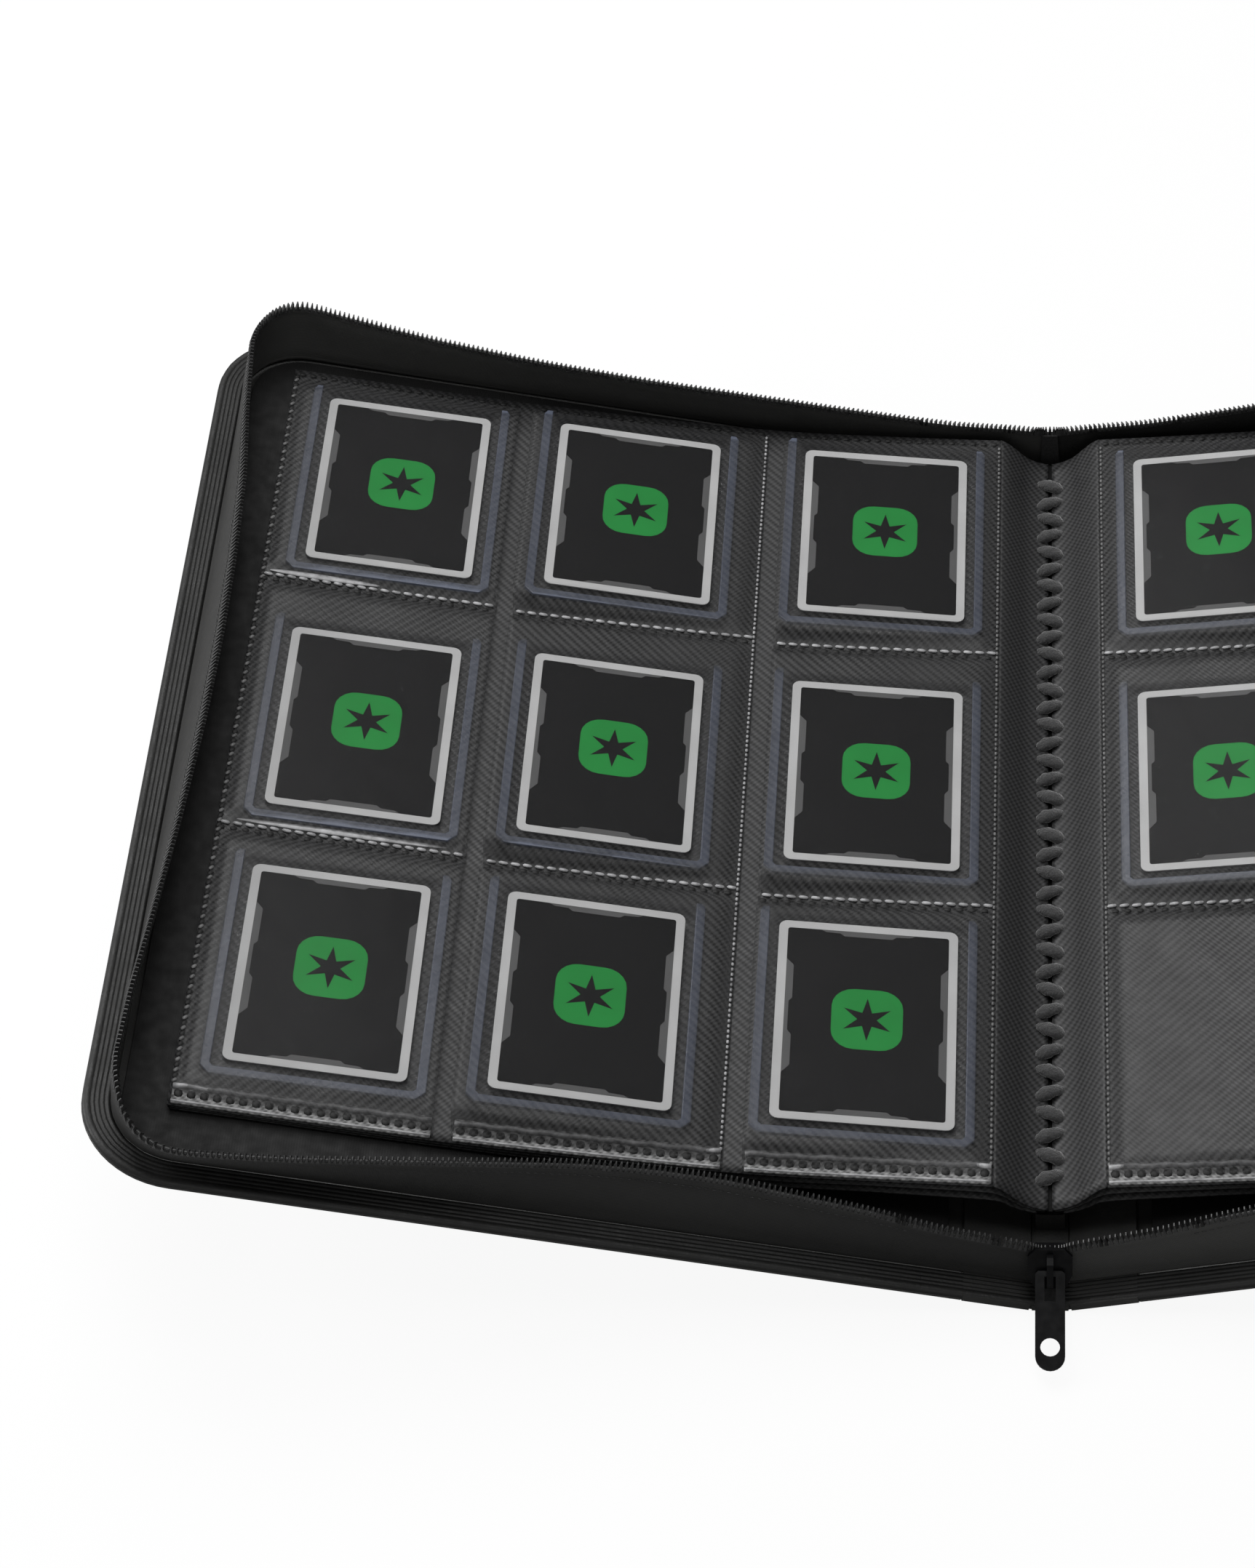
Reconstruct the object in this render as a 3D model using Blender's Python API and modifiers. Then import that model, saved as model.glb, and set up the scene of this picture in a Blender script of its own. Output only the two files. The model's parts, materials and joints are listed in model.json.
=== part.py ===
"""Trading card binder: zip-round album with side-loading pockets for rigid card sleeves.

The binder lies open. Its spine runs along Y, the covers open to -X and +X, and +Z is up.
The origin is the centre of the flat underside of the spine strip. Named sizes are in
millimetres; MM turns them into metres where a shape is made.
"""

import math

import bmesh
import bpy
from mathutils import Matrix, Vector

MM = 0.001

# Covers and spine
OPEN_ANGLE = math.radians(12.5)
STRIP_HALF_WIDTH = 6.4
STRIP_THICKNESS = 2.3
SPINE_PANEL_FROM = 0.9
SPINE_PANEL_TO = 24.0
SPINE_PANEL_THICKNESS = 3.0
CREASE_AT = 25.4
HINGE_HEIGHT = 0.4
COVER_EDGE_AT = 327.4
COVER_TAIL = -217.0
COVER_HEAD = 204.0
CORNER_RADIUS = 34.0
SKIN_FROM_CREASE = 0.5
SKIN_THICKNESS = 1.0
BOARD_FROM_CREASE = 4.2
BOARD_INSET = 13.4
BOARD_LAYER = (1.2, 2.7)
LINING_LAYER = (2.9, 3.5)

# Zip-round wall: a border in the cover's plane, then tape that stands up and carries the chain
BORDER_INSET = 0.4
BORDER_FOOT = 1.3
BORDER_TOP = 3.4
WALL_INSET = 10.0
WALL_THICKNESS = 1.6
WALL_LENGTH = 27.6
WALL_START_LENGTH = 24.0
WALL_FULL_AT = 60.0
CHAIN_HEIGHT = 3.7
CHAIN_THICKNESS = 2.2
CHAIN_SHARE_INSIDE = 0.7
CHAIN_GAP = 0.3
CORNER_STEPS = 8

# Lean of the wall in degrees, inwards positive: (distance from the centre line or place along
# the spine, lean) on the straight stretches, and one value per step round each corner
TAIL_LEAN = (
    (36.0, -4.0),
    (60.0, -2.0),
    (84.0, 3.0),
    (110.0, 9.0),
    (135.0, 9.0),
    (160.0, 4.0),
    (184.0, -4.4),
    (207.0, -11.7),
    (231.0, -18.6),
    (254.0, -25.0),
    (274.0, -29.0),
)
TAIL_CORNER_LEAN = (-32.0, -30.0, -26.0, -18.0, -11.0, -6.0, -3.0, -1.0, 0.0)
SIDE_LEAN = (
    (-160.0, 1.5),
    (-120.0, 8.0),
    (-80.0, 14.0),
    (-30.0, 19.0),
    (12.0, 20.5),
    (54.0, 19.4),
    (96.0, 15.5),
    (130.0, 8.0),
)
HEAD_CORNER_LEAN = (2.0, 2.5, 2.5, 1.5, 0.0, -2.0, -3.5, -3.0, 0.0)
HEAD_LEAN = (
    (279.0, 5.0),
    (263.0, 10.0),
    (246.0, 14.4),
    (229.0, 17.0),
    (211.0, 19.5),
    (194.0, 20.5),
    (160.0, 21.5),
    (125.0, 21.2),
    (90.0, 20.6),
    (55.0, 20.0),
    (36.0, 19.6),
)

# Leaves
LEAF_TAIL = -187.0
LEAF_HEAD = 182.0
LEAF_THICKNESS = 0.6
FILM_THICKNESS = 0.35
FILM_GAP = 0.3
WELD_HALF_WIDTH = 0.8
FILM_RISE = ((0, 0.0), (2, 0.45), (4, 0.9), (6, 1.0))
ROW_WELDS = (-185.2, -66.0, 60.0, 177.5)

# Card and rigid card sleeve
CARD_WIDTH = 63.5
CARD_HEIGHT = 88.9
CARD_THICKNESS = 0.4
CARD_CORNER = 3.0
SLEEVE_WIDTH = 77.5
SLEEVE_HEIGHT = 101.9
SLEEVE_THICKNESS = 1.7
SLEEVE_CORNER = 3.0
SLEEVE_HOLLOW_WIDTH = 68.5
SLEEVE_OVER_CARD = 6.0
SLEEVE_FACE = 0.5
CARD_PLAY = 0.15
CARD_TOPS = (167.0, 41.0, -77.0)

# Card plane of each pocket column: distance of the card's outer edge from the centre line,
# its height and its rise in degrees, then where the film is welded and where it opens
COLUMNS = {
    "outer": {"x": 280.7, "z": 69.7, "rise": 11.4, "weld": 296.0, "mouth": 208.0},
    "middle": {"x": 191.0, "z": 55.1, "rise": 11.7, "weld": 110.6, "mouth": 202.0},
    "inner": {"x": 95.5, "z": 39.6, "rise": 6.4, "weld": 19.0, "mouth": 104.0},
}

# Upper face of each sheet from the spine outwards: distance from the centre line, height
TOP_LEAF = ((19.0, 29.6), (104.0, 35.6), (202.0, 51.3), (296.0, 71.3))
LEAF_TWO_FOLD = ((7.2, 16.2), (9.3, 17.9), (15.0, 23.0), (19.0, 25.6))
LEAF_TWO = LEAF_TWO_FOLD + ((107.0, 33.4), (205.0, 50.4), (296.0, 70.3))
LEAF_THREE_FOLD = ((7.2, 15.3), (9.3, 16.7), (15.0, 20.0), (19.0, 21.6))
LEAF_THREE = LEAF_THREE_FOLD + ((107.0, 30.8), (205.0, 49.2), (296.0, 69.3))
GUTTER_FILM = ((7.2, 17.2), (9.3, 19.2), (12.0, 22.2), (15.0, 25.8), (18.0, 28.7))
GUTTER_FOLD = ((-4.6, 16.0), (-3.5, 15.7), (3.5, 15.7), (4.6, 16.0))
GUTTER_FOLD_THICKNESS = 2.0
LOWER_LEAVES_HINGE = (20.0, 15.0)
TOP_LEAF_HINGE = (18.6, 30.0)

# Padded binding strip and the cord that sews the leaves to it
BINDING_HALF_WIDTH = 5.0
BINDING_FROM = 2.6
BINDING_TO = 13.1
CORD_RADIUS = 1.2
CORD_SWING = 1.6
CORD_HEIGHT = 17.2
CORD_ENDS = (-178.0, 172.0)
CORD_POINTS = 49

# Slider at the tail of the spine, with its face leaning back
SLIDER_CENTRE = (0.0, -209.5, 15.4)
SLIDER_LEAN = math.radians(30.0)
SLIDER_HALF_THICKNESS = 3.3
CHANNEL_HALF_THICKNESS = 1.3
ARCH_HALF_WIDTH = 1.1
PULL_PIVOT_DOWN = 1.0
PULL_PIVOT_OUT = 5.0
PULL_LENGTH = 33.0
PULL_WIDTH = 10.0
PULL_THICKNESS = 1.6
PULL_HOLE_RADIUS = 3.3
PULL_HOLE_IN = 3.0
PULL_SLOT = (-1.9, 1.9, 1.0, 9.5)
PULL_DROP = math.radians(21.0)

# Base colour, roughness and metallic value
MATERIALS = {
    "cover_skin": ((0.045, 0.045, 0.042), 0.62, 0.0),
    "cover_board": ((0.30, 0.27, 0.22), 0.85, 0.0),
    "cover_lining": ((0.012, 0.012, 0.012), 0.8, 0.0),
    "gusset": ((0.02, 0.02, 0.02), 0.7, 0.0),
    "zipper_chain": ((0.015, 0.015, 0.015), 0.35, 0.0),
    "binding_strip": ((0.02, 0.02, 0.02), 0.8, 0.0),
    "stitch_cord": ((0.06, 0.06, 0.062), 0.7, 0.0),
    "leaf_sheet": ((0.05, 0.05, 0.052), 0.42, 0.0),
    "pocket_film": ((0.20, 0.20, 0.22), 0.15, 0.0),
    "card_sleeve": ((0.10, 0.11, 0.13), 0.12, 0.0),
    "card": ((0.02, 0.02, 0.02), 0.45, 0.0),
    "zipper_metal": ((0.01, 0.01, 0.01), 0.2, 1.0),
}

# A section drawn in x and height becomes a section across the spine
ACROSS_SPINE = Matrix.Rotation(math.pi / 2, 4, "X")


def clear_scene():
    for obj in list(bpy.data.objects):
        bpy.data.objects.remove(obj, do_unlink=True)
    for collection in list(bpy.data.collections):
        bpy.data.collections.remove(collection)


def new_collection(name):
    collection = bpy.data.collections.new(name)
    bpy.context.scene.collection.children.link(collection)
    return collection


def new_material(name, kind):
    color, roughness, metallic = MATERIALS[kind]
    material = bpy.data.materials.new(name)
    material.use_nodes = True
    shader = material.node_tree.nodes["Principled BSDF"]
    shader.inputs["Base Color"].default_value = (*color, 1.0)
    shader.inputs["Roughness"].default_value = roughness
    shader.inputs["Metallic"].default_value = metallic
    return material


def finish(obj, kind, collection, matrix, hinge=None):
    """Gives a new object its material and its place, under its joint's empty if it has one."""
    obj.data.materials.append(new_material(obj.name, kind))
    collection.objects.link(obj)
    obj.matrix_world = matrix
    if hinge is not None:
        obj.parent = hinge
        obj.matrix_parent_inverse = hinge.matrix_world.inverted()
    return obj


def new_hinge(name, point, collection, parent=None):
    """An empty on a joint's axis."""
    hinge = bpy.data.objects.new(name, None)
    hinge.empty_display_size = 0.01
    collection.objects.link(hinge)
    hinge.matrix_world = Matrix.Translation(Vector(point) * MM)
    if parent is not None:
        hinge.parent = parent
        hinge.matrix_parent_inverse = parent.matrix_world.inverted()
    bpy.context.view_layer.update()
    return hinge


def flat_curve(name, outline, thickness):
    """A filled outline, extruded to a thickness about its own plane."""
    curve = bpy.data.curves.new(name, "CURVE")
    curve.dimensions = "2D"
    curve.fill_mode = "BOTH"
    curve.extrude = thickness / 2 * MM
    spline = curve.splines.new("POLY")
    spline.points.add(len(outline) - 1)
    for point, (x, y) in zip(spline.points, outline):
        point.co = (x * MM, y * MM, 0.0, 1.0)
    spline.use_cyclic_u = True
    return bpy.data.objects.new(name, curve)


def flat_mesh(name, outline, thickness):
    """The same shape as a mesh with its caps welded, for a piece that is cut or joined."""
    drawn = flat_curve(name + "_outline", outline, thickness)
    bpy.context.scene.collection.objects.link(drawn)
    graph = bpy.context.evaluated_depsgraph_get()
    mesh = bpy.data.meshes.new_from_object(drawn.evaluated_get(graph))
    mesh.name = name
    bpy.data.objects.remove(drawn, do_unlink=True)
    shape = bmesh.new()
    shape.from_mesh(mesh)
    bmesh.ops.remove_doubles(shape, verts=shape.verts, dist=0.000001)
    bmesh.ops.recalc_face_normals(shape, faces=shape.faces)
    shape.to_mesh(mesh)
    shape.free()
    return bpy.data.objects.new(name, mesh)


def cut(obj, cutter, operation="DIFFERENCE"):
    cutter.hide_render = True
    cutter.display_type = "WIRE"
    boolean = obj.modifiers.new(cutter.name, "BOOLEAN")
    boolean.operation = operation
    boolean.solver = "EXACT"
    boolean.object = cutter


def bent_grid(name, points, thickness, offset):
    """A grid whose rows of points follow a rule, thickened to one side with Solidify."""
    tall = len(points)
    wide = len(points[0])
    shape = bmesh.new()
    bmesh.ops.create_grid(shape, x_segments=wide - 1, y_segments=tall - 1, size=1.0)
    shape.verts.ensure_lookup_table()
    for vertex in shape.verts:
        column = round((vertex.co.x + 1) / 2 * (wide - 1))
        row = round((vertex.co.y + 1) / 2 * (tall - 1))
        vertex.co = Vector(points[row][column]) * MM
    mesh = bpy.data.meshes.new(name)
    shape.to_mesh(mesh)
    shape.free()
    obj = bpy.data.objects.new(name, mesh)
    shell = obj.modifiers.new("shell", "SOLIDIFY")
    shell.thickness = thickness * MM
    shell.offset = offset
    return obj


def arc(centre_x, centre_y, radius, start, end, steps):
    """Points round an arc, with its angles in degrees."""
    points = []
    for i in range(steps + 1):
        angle = math.radians(start + (end - start) * i / steps)
        points.append((centre_x + radius * math.cos(angle), centre_y + radius * math.sin(angle)))
    return points


def rounded_rectangle(width, height, radius, steps):
    x = width / 2 - radius
    y = height / 2 - radius
    outline = arc(x, y, radius, 0, 90, steps)
    outline += arc(-x, y, radius, 90, 180, steps)
    outline += arc(-x, -y, radius, 180, 270, steps)
    outline += arc(x, -y, radius, 270, 360, steps)
    return outline


def sheet_section(side, line, thickness):
    """Closed section of a bent sheet whose upper face follows the line."""
    upper = [(side * x, z) for x, z in line]
    lower = [(side * x, z - thickness) for x, z in reversed(line)]
    return upper + lower


def along_spine(name, section, tail, head, kind, collection, hinge=None):
    """A section across the spine, drawn out from tail to head."""
    obj = flat_curve(name, section, head - tail)
    middle = Matrix.Translation((0.0, (tail + head) / 2 * MM, 0.0))
    return finish(obj, kind, collection, middle @ ACROSS_SPINE, hinge)


def smooth_step(value):
    value = min(max(value, 0.0), 1.0)
    return value * value * (3.0 - 2.0 * value)


def height_on(line, x):
    for (x0, z0), (x1, z1) in zip(line, line[1:]):
        if x <= x1:
            return z0 + (z1 - z0) * (x - x0) / (x1 - x0)
    return line[-1][1]


# Spine


def make_spine(collection):
    half = STRIP_HALF_WIDTH - 0.2
    strip = [(-half, 0.0), (half, 0.0), (half, STRIP_THICKNESS), (-half, STRIP_THICKNESS)]
    along_spine("spine_strip", strip, COVER_TAIL, COVER_HEAD, "cover_skin", collection)
    half = BINDING_HALF_WIDTH
    slope = 1.5
    pad = [
        (-half, BINDING_FROM),
        (half, BINDING_FROM),
        (half, BINDING_TO - slope),
        (half - slope, BINDING_TO),
        (slope - half, BINDING_TO),
        (-half, BINDING_TO - slope),
    ]
    along_spine("binding_strip", pad, LEAF_TAIL + 2.0, LEAF_HEAD - 2.0, "binding_strip", collection)
    fold = sheet_section(1, GUTTER_FOLD, GUTTER_FOLD_THICKNESS)
    along_spine("gutter_fold", fold, LEAF_TAIL, LEAF_HEAD, "leaf_sheet", collection)


def make_stitch_cord(collection):
    """Zigzag saddle stitch that holds the folded sheets along the gutter."""
    curve = bpy.data.curves.new("stitch_cord", "CURVE")
    curve.dimensions = "3D"
    curve.bevel_depth = CORD_RADIUS * MM
    curve.bevel_resolution = 1
    curve.use_fill_caps = True
    spline = curve.splines.new("POLY")
    spline.points.add(CORD_POINTS - 1)
    tail, head = CORD_ENDS
    for i, point in enumerate(spline.points):
        x = CORD_SWING if i % 2 == 0 else -CORD_SWING
        y = tail + (head - tail) * i / (CORD_POINTS - 1)
        point.co = (x * MM, y * MM, CORD_HEIGHT * MM, 1.0)
    cord = bpy.data.objects.new("stitch_cord", curve)
    finish(cord, "stitch_cord", collection, Matrix.Identity(4))


def make_spine_panel(side_name, side, collection):
    hinge = new_hinge(side_name + "_spine_fold", (side * STRIP_HALF_WIDTH, 0.0, 0.0), collection)
    near = side * SPINE_PANEL_FROM
    far = side * SPINE_PANEL_TO
    outline = [(near, COVER_TAIL), (far, COVER_TAIL), (far, COVER_HEAD), (near, COVER_HEAD)]
    panel = flat_curve(side_name + "_spine_panel", outline, SPINE_PANEL_THICKNESS)
    place = cover_frame(side) @ Matrix.Translation((0.0, 0.0, SPINE_PANEL_THICKNESS / 2 * MM))
    finish(panel, "cover_skin", collection, place, hinge)


# Covers


def cover_frame(side):
    """Frame of a cover's underside, with its origin where the spine strip ends."""
    start = Matrix.Translation((side * STRIP_HALF_WIDTH * MM, 0.0, 0.0))
    return start @ Matrix.Rotation(-side * OPEN_ANGLE, 4, "Y")


def cover_outline(side, start, inset):
    """Panel outline: square corners at the crease, rounded corners at the outer edge."""
    edge = COVER_EDGE_AT - inset
    tail = COVER_TAIL + inset
    head = COVER_HEAD - inset
    radius = CORNER_RADIUS - inset
    outline = [(start, tail)]
    outline += arc(edge - radius, tail + radius, radius, -90, 0, CORNER_STEPS)
    outline += arc(edge - radius, head - radius, radius, 0, 90, CORNER_STEPS)
    outline.append((start, head))
    return [(side * x, y) for x, y in outline]


def make_cover_plate(name, side, start, inset, layer, kind, collection, hinge):
    low, high = layer
    plate = flat_curve(name, cover_outline(side, start, inset), high - low)
    place = cover_frame(side) @ Matrix.Translation((0.0, 0.0, (low + high) / 2 * MM))
    finish(plate, kind, collection, place, hinge)


def wall_stations():
    """Round the wall's foot: place, outward direction and inward lean."""
    edge = COVER_EDGE_AT - WALL_INSET
    tail = COVER_TAIL + WALL_INSET
    head = COVER_HEAD - WALL_INSET
    radius = CORNER_RADIUS - WALL_INSET
    stations = [(x, tail, 0.0, -1.0, lean) for x, lean in TAIL_LEAN]
    for i, lean in enumerate(TAIL_CORNER_LEAN):
        turn = math.pi / 2 * i / CORNER_STEPS
        out_x = math.sin(turn)
        out_y = -math.cos(turn)
        x = edge - radius + radius * out_x
        stations.append((x, tail + radius + radius * out_y, out_x, out_y, lean))
    stations += [(edge, y, 1.0, 0.0, lean) for y, lean in SIDE_LEAN]
    for i, lean in enumerate(HEAD_CORNER_LEAN):
        turn = math.pi / 2 * i / CORNER_STEPS
        out_x = math.cos(turn)
        out_y = math.sin(turn)
        x = edge - radius + radius * out_x
        stations.append((x, head - radius + radius * out_y, out_x, out_y, lean))
    stations += [(x, head, 0.0, 1.0, lean) for x, lean in HEAD_LEAN]
    return stations


def wall_length_at(x, y):
    """At the tail the wall is lower next to the spine, where both chains meet in the slider."""
    if y > 0.0:
        return WALL_LENGTH
    rise = smooth_step((x - TAIL_LEAN[0][0]) / (WALL_FULL_AT - TAIL_LEAN[0][0]))
    return WALL_START_LENGTH + (WALL_LENGTH - WALL_START_LENGTH) * rise


def wall_rows(side, border, climbs):
    """Rows of points across the border and up the wall. The border is given as (distance
    outwards, height), and climbs turns the wall's length into distances up its face."""
    rows = []
    for x, y, out_x, out_y, lean in wall_stations():
        row = [(side * (x + out_x * out), y + out_y * out, height) for out, height in border]
        lean = math.radians(lean)
        for climb in climbs(wall_length_at(x, y)):
            inward = climb * math.sin(lean)
            height = BORDER_TOP + climb * math.cos(lean)
            row.append((side * (x - out_x * inward), y - out_y * inward, height))
        rows.append(row)
    return rows


def make_wall(side_name, side, collection, hinge):
    out = WALL_INSET - BORDER_INSET
    border = ((out, BORDER_FOOT), (out, BORDER_TOP))
    frame = cover_frame(side)
    rows = wall_rows(side, border, lambda length: (0.0, length - CHAIN_HEIGHT - CHAIN_GAP))
    tape = bent_grid(side_name + "_gusset", rows, WALL_THICKNESS, side)
    tape.modifiers["shell"].use_even_offset = True
    finish(tape, "gusset", collection, frame, hinge)
    rows = wall_rows(side, (), lambda length: (length - CHAIN_HEIGHT, length))
    chain = bent_grid(side_name + "_zipper_teeth", rows, CHAIN_THICKNESS, side * CHAIN_SHARE_INSIDE)
    finish(chain, "zipper_chain", collection, frame, hinge)


def make_cover(side_name, side, collection):
    axis = cover_frame(side) @ Vector((side * CREASE_AT * MM, 0.0, HINGE_HEIGHT * MM))
    hinge = new_hinge(side_name + "_cover_crease", axis / MM, collection)
    start = CREASE_AT + SKIN_FROM_CREASE
    skin_layer = (0.0, SKIN_THICKNESS)
    make_cover_plate(
        side_name + "_cover_skin", side, start, 0.0, skin_layer, "cover_skin", collection, hinge
    )
    start = CREASE_AT + BOARD_FROM_CREASE
    for kind, layer in (("cover_board", BOARD_LAYER), ("cover_lining", LINING_LAYER)):
        name = side_name + "_" + kind
        make_cover_plate(name, side, start, BOARD_INSET, layer, kind, collection, hinge)
    make_wall(side_name, side, collection, hinge)


# Leaves and pockets


def film_height(column, x, lift):
    """Underside of the film: on the leaf at a weld, just over the sleeve inside a pocket."""
    base = height_on(TOP_LEAF, x) + FILM_GAP
    card_plane = column["z"] + (x - column["x"]) * math.tan(math.radians(column["rise"]))
    top = card_plane + SLEEVE_FACE + CARD_PLAY + FILM_GAP
    return base + (max(top, base) - base) * lift


def make_pocket_film(side_name, side, column_name, collection, hinge):
    """One column of three pockets: welded round three sides of each and open at the mouth."""
    column = COLUMNS[column_name]
    reach = column["mouth"] - column["weld"]
    away = math.copysign(1.0, reach)
    across = [(column["weld"] + away * step, lift) for step, lift in FILM_RISE]
    across += [(column["weld"] + reach * share, 1.0) for share in (0.35, 0.7, 1.0)]
    along = []
    for low, high in zip(ROW_WELDS, ROW_WELDS[1:]):
        along += [(low - WELD_HALF_WIDTH, 0.0), (low + WELD_HALF_WIDTH, 0.0), (low + 5.0, 0.55)]
        along += [(low + 9.5, 1.0), ((low + high) / 2, 1.0), (high - 3.6, 1.0)]
    last = ROW_WELDS[-1]
    along += [(last - WELD_HALF_WIDTH, 0.0), (last + WELD_HALF_WIDTH, 0.0)]
    rows = []
    for y, lift_y in along:
        rows.append([(side * x, y, film_height(column, x, lift_x * lift_y)) for x, lift_x in across])
    name = side_name + "_pocket_film_" + column_name
    film = bent_grid(name, rows, FILM_THICKNESS, side * away)
    finish(film, "pocket_film", collection, Matrix.Identity(4), hinge)


def make_leaves(side_name, side, collection):
    """The two lower leaves and the top leaf's fold move together; the top leaf turns on them."""
    x, z = LOWER_LEAVES_HINGE
    lower_hinge = new_hinge(side_name + "_leaves_rise", (side * x, 0.0, z), collection)
    sheets = {"_leaf_two": LEAF_TWO, "_leaf_three": LEAF_THREE, "_gutter_film": GUTTER_FILM}
    for name, line in sheets.items():
        section = sheet_section(side, line, LEAF_THICKNESS)
        name = side_name + name
        along_spine(name, section, LEAF_TAIL, LEAF_HEAD, "leaf_sheet", collection, lower_hinge)
    x, z = TOP_LEAF_HINGE
    top_hinge = new_hinge(side_name + "_leaf_turn", (side * x, 0.0, z), collection, lower_hinge)
    section = sheet_section(side, TOP_LEAF, LEAF_THICKNESS)
    name = side_name + "_leaf_sheet"
    along_spine(name, section, LEAF_TAIL, LEAF_HEAD, "leaf_sheet", collection, top_hinge)
    for column_name in COLUMNS:
        make_pocket_film(side_name, side, column_name, collection, top_hinge)
    return top_hinge


def make_card_and_sleeve(label, side, column_name, row, collection, cutters, hinge):
    """A card in its rigid sleeve, which is open towards the head."""
    column = COLUMNS[column_name]
    rise = math.radians(column["rise"])
    x = side * (column["x"] - CARD_WIDTH / 2 * math.cos(rise))
    z = column["z"] - CARD_WIDTH / 2 * math.sin(rise)
    face = Matrix.Translation(Vector((x, CARD_TOPS[row] - CARD_HEIGHT / 2, z)) * MM)
    face = face @ Matrix.Rotation(-side * rise, 4, "Y")

    outline = rounded_rectangle(CARD_WIDTH, CARD_HEIGHT, CARD_CORNER, 2)
    card = flat_curve("card_" + label, outline, CARD_THICKNESS)
    under = Matrix.Translation((0.0, 0.0, -CARD_THICKNESS / 2 * MM))
    finish(card, "card", collection, face @ under, hinge)

    top = CARD_HEIGHT / 2 + SLEEVE_OVER_CARD
    bottom = top - SLEEVE_HEIGHT
    half = SLEEVE_WIDTH / 2
    outline = [
        (-half + SLEEVE_CORNER, bottom),
        (half - SLEEVE_CORNER, bottom),
        (half, bottom + SLEEVE_CORNER),
        (half, top),
        (-half, top),
        (-half, bottom + SLEEVE_CORNER),
    ]
    centre = SLEEVE_FACE + CARD_PLAY - SLEEVE_THICKNESS / 2
    place = face @ Matrix.Translation((0.0, 0.0, centre * MM))
    sleeve = flat_mesh("card_sleeve_" + label, outline, SLEEVE_THICKNESS)
    finish(sleeve, "card_sleeve", collection, place, hinge)
    half = SLEEVE_HOLLOW_WIDTH / 2
    floor = -CARD_HEIGHT / 2 - 1.5
    hollow_outline = [(-half, floor), (half, floor), (half, top + 5.0), (-half, top + 5.0)]
    hollow = flat_mesh("hollow_" + label, hollow_outline, SLEEVE_THICKNESS - 2 * SLEEVE_FACE)
    finish(hollow, "card_sleeve", cutters, place, hinge)
    cut(sleeve, hollow)


# Zipper ends, slider and pull


def slider_frame():
    """Across the chain, up the closed chain and out of the slider's face."""
    turn = Matrix.Rotation(math.pi / 2 - SLIDER_LEAN, 4, "X")
    return Matrix.Translation(Vector(SLIDER_CENTRE) * MM) @ turn


def make_zipper_ends(collection):
    """The closed end of the chain with its stop at the tail, and the stop at the head."""
    stub = [(-3.0, -3.3), (-3.0, -12.3), (-4.2, -12.3), (-4.2, -14.4)]
    stub += [(-x, y) for x, y in reversed(stub)]
    tail = flat_curve("zipper_tail", stub, 1.8)
    finish(tail, "zipper_chain", collection, slider_frame())
    block = [(-4.0, 2.7), (4.0, 2.7), (3.0, 26.0), (-3.0, 26.0)]
    along_spine("zipper_head", block, 188.0, 190.4, "zipper_chain", collection)


def make_slider(collection, cutters):
    """Two plates joined by the wedge that parts the chains, with an arch for the pull."""
    frame = slider_frame()
    half_outline = [(5.0, 7.0), (7.5, 4.5), (7.5, -2.0), (5.0, -7.0)]
    outline = half_outline + [(-x, y) for x, y in reversed(half_outline)]
    body = flat_mesh("slider_body", outline, 2 * SLIDER_HALF_THICKNESS)
    finish(body, "zipper_metal", collection, frame)
    channel_outline = [(-9.0, -9.0), (9.0, -9.0), (9.0, 9.0), (2.5, 9.0)]
    channel_outline += [(2.5, 2.0), (-2.5, 2.0), (-2.5, 9.0), (-9.0, 9.0)]
    channel = flat_mesh("slider_channel", channel_outline, 2 * CHANNEL_HALF_THICKNESS)
    finish(channel, "zipper_metal", cutters, frame)
    half_arch = [(5.6, 2.4), (5.6, 6.4), (3.8, 8.6)]
    arch_outline = half_arch + [(-x, y) for x, y in reversed(half_arch)]
    arch_outline += [(-3.4, 2.4), (-3.4, 5.6), (-2.8, 6.5), (2.8, 6.5), (3.4, 5.6), (3.4, 2.4)]
    arch = flat_mesh("slider_arch", arch_outline, 2 * ARCH_HALF_WIDTH)
    # The arch is drawn up the chain and out of the face, and extruded across
    upright = Matrix.Rotation(math.pi / 2, 4, "Z") @ Matrix.Rotation(math.pi / 2, 4, "X")
    finish(arch, "zipper_metal", cutters, frame @ upright)
    cut(body, channel)
    cut(body, arch, "UNION")
    return body


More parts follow.
